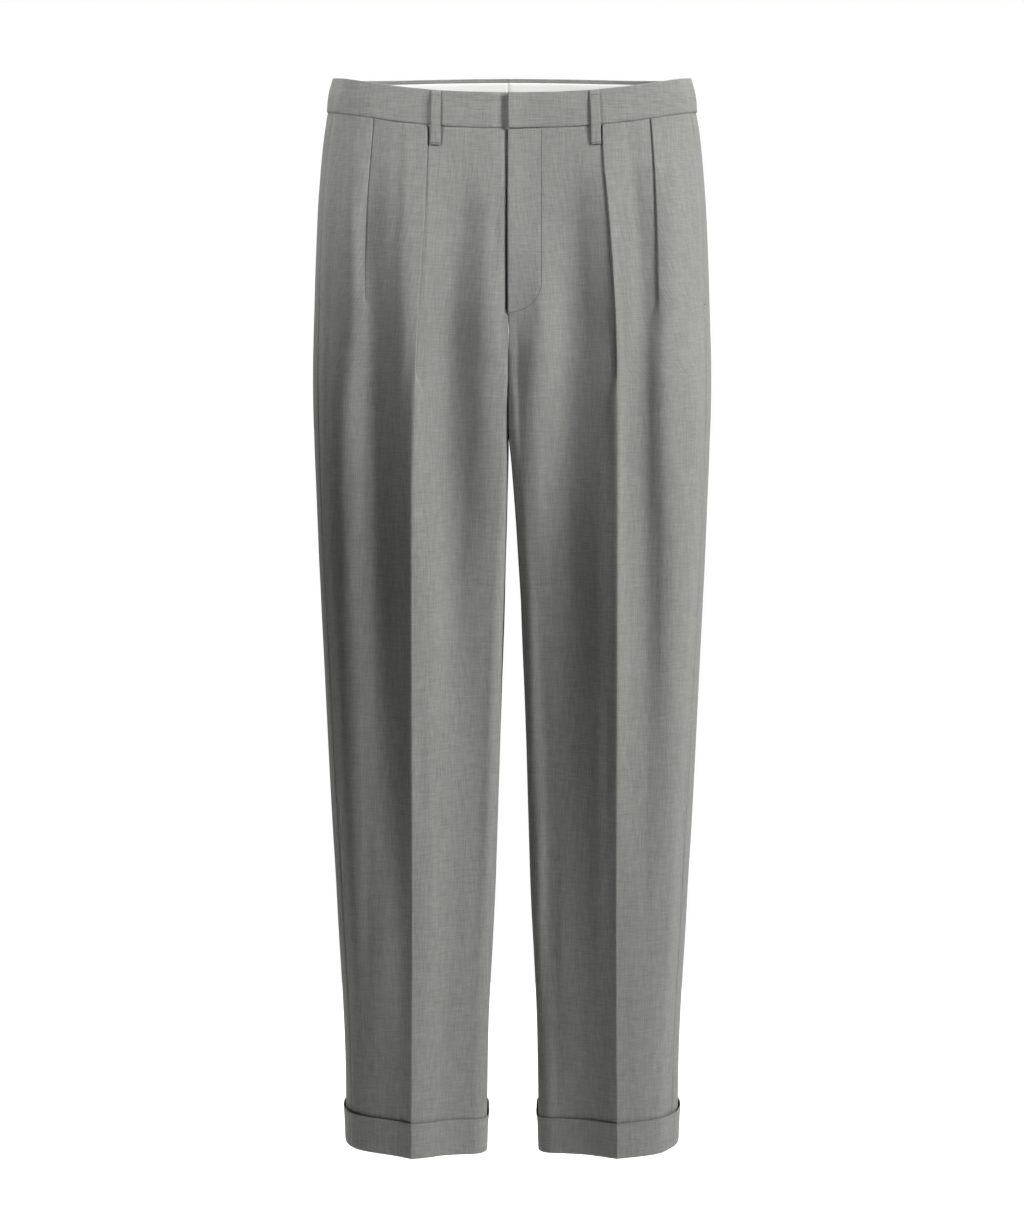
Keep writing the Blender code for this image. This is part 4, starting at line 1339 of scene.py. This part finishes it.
@dataclass
class TurnUp:
    """The cloth of a leg folded out and up at the hem."""

    side: Side
    shop: Workshop
    relief: Relief
    stand: float = 1.25 * MM

    def path(self) -> list[tuple[float, float]]:
        """(out, height above the hem) from inside the leg, round, to the top edge."""
        stand = self.stand
        inside = [(-stand - 0.1 * MM, h * MM) for h in (13.0, 12.6, 12.0, 9.0, 6.0, 3.5, 2.0)]
        turn = [(-stand * math.cos(t), (1.2 - 1.2 * math.sin(t)) * MM)
                for t in np.linspace(0.25, math.pi - 0.25, 9)]
        rise = [(stand + (0.15 + 0.35 * (h / 36.0)) * MM, h * MM)
                for h in (2.2, 4.0, 8.0, 13.0, 18.0, 23.0, 28.0, 32.0, 34.4, 35.3, 35.7, 36.0)]
        return inside + turn + rise

    def build(self) -> bpy.types.Object:
        """Make the turn-up."""
        rows, grain = [], []
        ease = (0.5 - 0.5 * np.cos(math.pi * np.linspace(0, 1, 30)[:-1])) ** 0.9
        for out, height in self.path():
            level = HEM + height
            outline = Outline.of(level, self.side)
            marks = [0.0, outline.crease, outline.seam, outline.back, outline.end]
            s = np.concatenate([a + (b - a) * ease for a, b in zip(marks, marks[1:])])
            wave = 0.30 * MM * self.relief.waves(s - outline.crease + 0.3, level, 0.022, 0.05, 1)
            wave = wave * float(smooth((height - 6 * MM) / (20 * MM)))
            seams = np.minimum(np.abs(s - outline.seam), np.minimum(s, outline.end - s))
            flare = 0.55 * MM * smooth((height - 25 * MM) / (10 * MM))
            flare = flare * (1.0 + 1.1 * smooth((14 * MM - seams) / (11 * MM)))
            n = out + (wave + flare - tuck(seams, 0.45 * MM, 2.2 * MM)) * (1.0 if out > 0 else 0.0)
            points = outline.at(s, n)
            points[:, 1] -= np.where(s < outline.seam, swell(outline, s), 0.0)
            rows.append(points)
            turned = height if out > 0 else -height
            grain.append(np.stack((s - outline.crease, np.full(len(s), turned + 3.3)), axis=1))
        piece = self.shop.shell(f"turn_up_{self.side.tag}", np.array(rows)[::-1],
                                np.array(grain)[::-1], CLOTH, self.side, self.shop.wool, ring=True)
        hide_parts(f"cuff_{self.side.tag}")
        return piece


@dataclass
class HiddenParts:
    """The fly shield and the pocket facings, seen only through their slits."""

    shop: Workshop

    def shield(self) -> bpy.types.Object:
        """The shield sewn to the right front, under the left one."""
        rows, grain = [], []
        for level in np.linspace(-0.0168, -0.2, 24):
            left, right = Outline.of(float(level), Side.LEFT), Outline.of(float(level), Side.RIGHT)
            narrow = 1.0 - 0.4 * float(smooth((-0.15 - level) / 0.05))
            under = np.linspace(33.0, 1.0, 9) * MM * narrow
            beside = np.array([1.0, 3.0, 5.0, 7.5]) * MM
            hidden = left.drape(under, np.full(9, -1.9 * MM))
            sewn = right.drape(beside, np.array([-3.3, -3.8, -3.8, -3.5]) * MM)
            points = np.concatenate((hidden, sewn))
            run = np.concatenate((-under, beside)) + 8.8
            rows.append(points)
            grain.append(np.stack((run, points[:, 2]), axis=1))
        piece = self.shop.shell("shield_cloth", np.array(rows), np.array(grain), 0.6 * MM,
                                Side.RIGHT, self.shop.wool)
        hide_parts("fly_shield")
        return piece

    def facing(self, side: Side) -> bpy.types.Object:
        """The strip behind a pocket mouth."""
        def line(outline: Outline) -> tuple[Array, Array]:
            """Lengths and distances outwards of a row, from its outline."""
            s = outline.seam + np.linspace(-22.0, 5.5, 12) * MM
            return s, np.full(12, -1.55 * MM)
        piece = strip(self.shop, f"pocket_strip_{side.tag}", side, np.linspace(-0.031, -0.199, 26),
                      line, 0.6 * MM, self.shop.wool)
        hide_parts(f"pocket_facing_{side.tag}")
        return piece


@dataclass
class Stitching:
    """The stitched line of the fly and the tacks of the pockets."""

    shop: Workshop
    front: FrontPanel
    pitch: float = 1.9 * MM

    def spot(self, s: float, level: float, lift: float) -> tuple[Vector, Vector]:
        """Where a stitch lies on the front's face.

        Args:
            s: length along the outline.
            level: garment level.
            lift: how far its middle stands off the cloth.

        Returns:
            Its place, and the way out there.
        """
        outline = Outline.of(level, self.front.side)
        here = np.array([s])
        n = self.front.shape(outline, here) + self.front.fly(here, level)
        n = n - tuck(PANEL_TOP - level, 0.7 * MM)
        place = outline.drape(here, n + CLOTH / 2 + lift)[0]
        under = outline.drape(here, n)[0]
        return Vector(place), Vector(place - under)

    def fly(self) -> bpy.types.Object:
        """The line down the fly that curves in to its foot."""
        path = [(FLY_WIDTH, z) for z in np.arange(-0.0185, FLY_TURN, -self.pitch)]
        turn = 0.0
        while turn < math.pi / 2 - 0.03:
            path.append((FLY_WIDTH * math.cos(turn), FLY_TURN - FLY_FOOT * math.sin(turn)))
            turn += self.pitch / math.hypot(FLY_WIDTH * math.sin(turn), FLY_FOOT * math.cos(turn))
        pairs = [self.spot(s, z, 0.10 * MM) for s, z in path]
        return self.shop.stitches("fly_stitching", [p for p, _ in pairs], [o for _, o in pairs],
                                  1.25 * MM, 0.60 * MM, 0.16 * MM)

    def pocket(self) -> bpy.types.Object:
        """Short bar at the foot of the pocket mouth."""
        level = POCKET_END - 0.001
        seam = Outline.of(level, self.front.side).seam
        spots = [self.spot(seam - d * MM, level, 0.12 * MM) for d in (0.3, 1.2, 2.1, 3.0, 3.9)]
        return self.shop.stitches(f"pocket_tack_{self.front.side.tag}", [p for p, _ in spots],
                                  [o for _, o in spots], 1.2 * MM, 0.75 * MM, 0.22 * MM)


@dataclass
class Studio:
    """Floor, soft lights and the camera."""

    eye: tuple[float, float, float] = (0.0, -3.0, -0.113)
    tilt: float = 7.39
    lens: float = 90.27
    floor_level: float = -1.20

    def lamp(self, name: str, place: tuple[float, float, float], aim: tuple[float, float, float],
             size: tuple[float, float], power: float, spread_angle: float = 180.0) -> None:
        """Add a soft box that looks at a point.

        Args:
            name: the lamp's name.
            place, aim: where it hangs, and the point that it looks at.
            size: width and height.
            power: watts.
            spread_angle: how wide its light opens, degrees.
        """
        data = bpy.data.lights.new(name, "AREA")
        data.shape, data.size, data.size_y, data.energy = "RECTANGLE", size[0], size[1], power
        data.spread = math.radians(spread_angle)
        lamp = bpy.data.objects.new(name, data)
        lamp.location = place
        lamp.rotation_mode = "QUATERNION"
        lamp.rotation_quaternion = (Vector(aim) - Vector(place)).to_track_quat("-Z", "Y")
        bpy.context.scene.collection.objects.link(lamp)

    def build(self) -> None:
        """Set the scene."""
        scene = bpy.context.scene
        bpy.ops.object.select_all(action="DESELECT")
        bpy.ops.mesh.primitive_plane_add(size=2.2, location=(0.0, 0.2, self.floor_level))
        floor = bpy.context.active_object
        floor.name = "studio_floor"
        pale = Shader("studio_paper")
        for socket in ("Base Color", "Emission Color"):
            pale.surface.inputs[socket].default_value = (0.94, 0.94, 0.94, 1.0)
        pale.set(Roughness=0.9, Emission_Strength=0.20)
        floor.data.materials.append(pale.material)
        world = bpy.data.worlds.new("studio_air")
        scene.world = world
        world.use_nodes = True
        tree = world.node_tree
        ground = tree.nodes["Background"]
        ground.inputs["Color"].default_value = (1.0, 1.0, 1.0, 1.0)
        ground.inputs["Strength"].default_value = 0.06
        seen = tree.nodes.new("ShaderNodeBackground")
        seen.inputs["Color"].default_value = (1.0, 1.0, 1.0, 1.0)
        seen.inputs["Strength"].default_value = 1.0
        path, choose = tree.nodes.new("ShaderNodeLightPath"), tree.nodes.new("ShaderNodeMixShader")
        tree.links.new(path.outputs["Is Camera Ray"], choose.inputs[0])
        tree.links.new(ground.outputs[0], choose.inputs[1])
        tree.links.new(seen.outputs[0], choose.inputs[2])
        tree.links.new(choose.outputs[0], tree.nodes["World Output"].inputs[0])
        self.lamp("key_box", (2.42, -1.50, 0.80), (0.0, 0.0, -0.30), (1.1, 1.6), 14.4, 45.0)
        self.lamp("waist_box", (-1.45, -1.30, 0.55), (-0.14, -0.06, 0.03), (0.4, 0.4), 0.70, 20.0)
        self.lamp("top_box", (0.0, 1.2, 2.0), (0.0, 0.8, -1.2), (3.4, 2.0), 150.0)
        scene.view_settings.view_transform = "Standard"
        data = bpy.data.cameras.new("view")
        data.lens, data.sensor_width, data.sensor_fit = self.lens, 36.0, "AUTO"
        camera = bpy.data.objects.new("view", data)
        camera.location = self.eye
        camera.rotation_euler = (math.radians(90.0 - self.tilt), 0.0, 0.0)
        scene.collection.objects.link(camera)
        scene.camera = camera


LOOPS = (
    ("loop_front_left", Side.LEFT, False, 0.0762, 0.0782),
    ("loop_front_right", Side.RIGHT, False, 0.0703, 0.0708),
    ("loop_side_left", Side.LEFT, True, 0.1560, 0.1590),
    ("loop_side_right", Side.RIGHT, True, 0.1560, 0.1590),
    ("loop_back_left", Side.LEFT, True, 0.0560, 0.0565),
    ("loop_back_right", Side.RIGHT, True, 0.0560, 0.0565),
)
SEAT_FOLDS = {
    Side.LEFT: (SoftFold((0.004, -0.232), (0.074, -0.306), 2.2, 0.010, 0.004),
                SoftFold((-0.008, -0.268), (0.058, -0.352), 1.5, 0.009),
                SoftFold((-0.052, -0.474), (0.026, -0.522), 1.2, 0.009),
                SoftFold((0.044, -0.536), (-0.022, -0.598), 0.9, 0.010),
                SoftFold((-0.036, -0.740), (0.006, -0.930), 0.9, 0.013)),
    Side.RIGHT: (SoftFold((0.010, -0.226), (0.078, -0.302), 2.0, 0.011, 0.003),
                 SoftFold((-0.014, -0.280), (0.050, -0.372), 1.3, 0.010),
                 SoftFold((-0.044, -0.496), (0.034, -0.538), 1.3, 0.008),
                 SoftFold((0.036, -0.560), (-0.030, -0.640), 0.8, 0.011),
                 SoftFold((0.020, -0.720), (-0.018, -0.890), 0.8, 0.012)),
}


def main() -> None:
    shop, relief = Workshop(), Relief(11)
    pieces: list[bpy.types.Object] = []
    for side in Side:
        front = FrontPanel(side, shop, relief)
        cloth = front.build()
        sewing = Stitching(shop, front)
        extras = [sewing.pocket()] + ([sewing.fly()] if side is Side.LEFT else [])
        pieces += [cloth, *extras]
        LOG.info("front %s", side.tag)
        back = BackPanel(side, shop, relief, SEAT_FOLDS[side]).build()
        turn_up = TurnUp(side, shop, relief).build()
        pieces += [back, turn_up]
        LOG.info("back and turn-up %s", side.tag)
    band = Waistband(shop, relief)
    hidden = HiddenParts(shop)
    for half in (band.left(), band.right()):
        pieces.append(half)
    for side in Side:
        lining = band.lining(side)
        facing = hidden.facing(side)
        pieces += [lining, facing]
    shield = hidden.shield()
    pieces.append(shield)
    LOG.info("waistband, lining and hidden parts")
    for name, side, on_back, top_x, low_x in LOOPS:
        pieces += BeltLoop(name, side, on_back, top_x, low_x, shop).build()
    LOG.info("belt loops")
    for piece in pieces:
        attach(piece, "root")
    Studio().build()


if __name__ == "__main__":
    logging.basicConfig(level=logging.INFO, format="%(message)s")
    main()
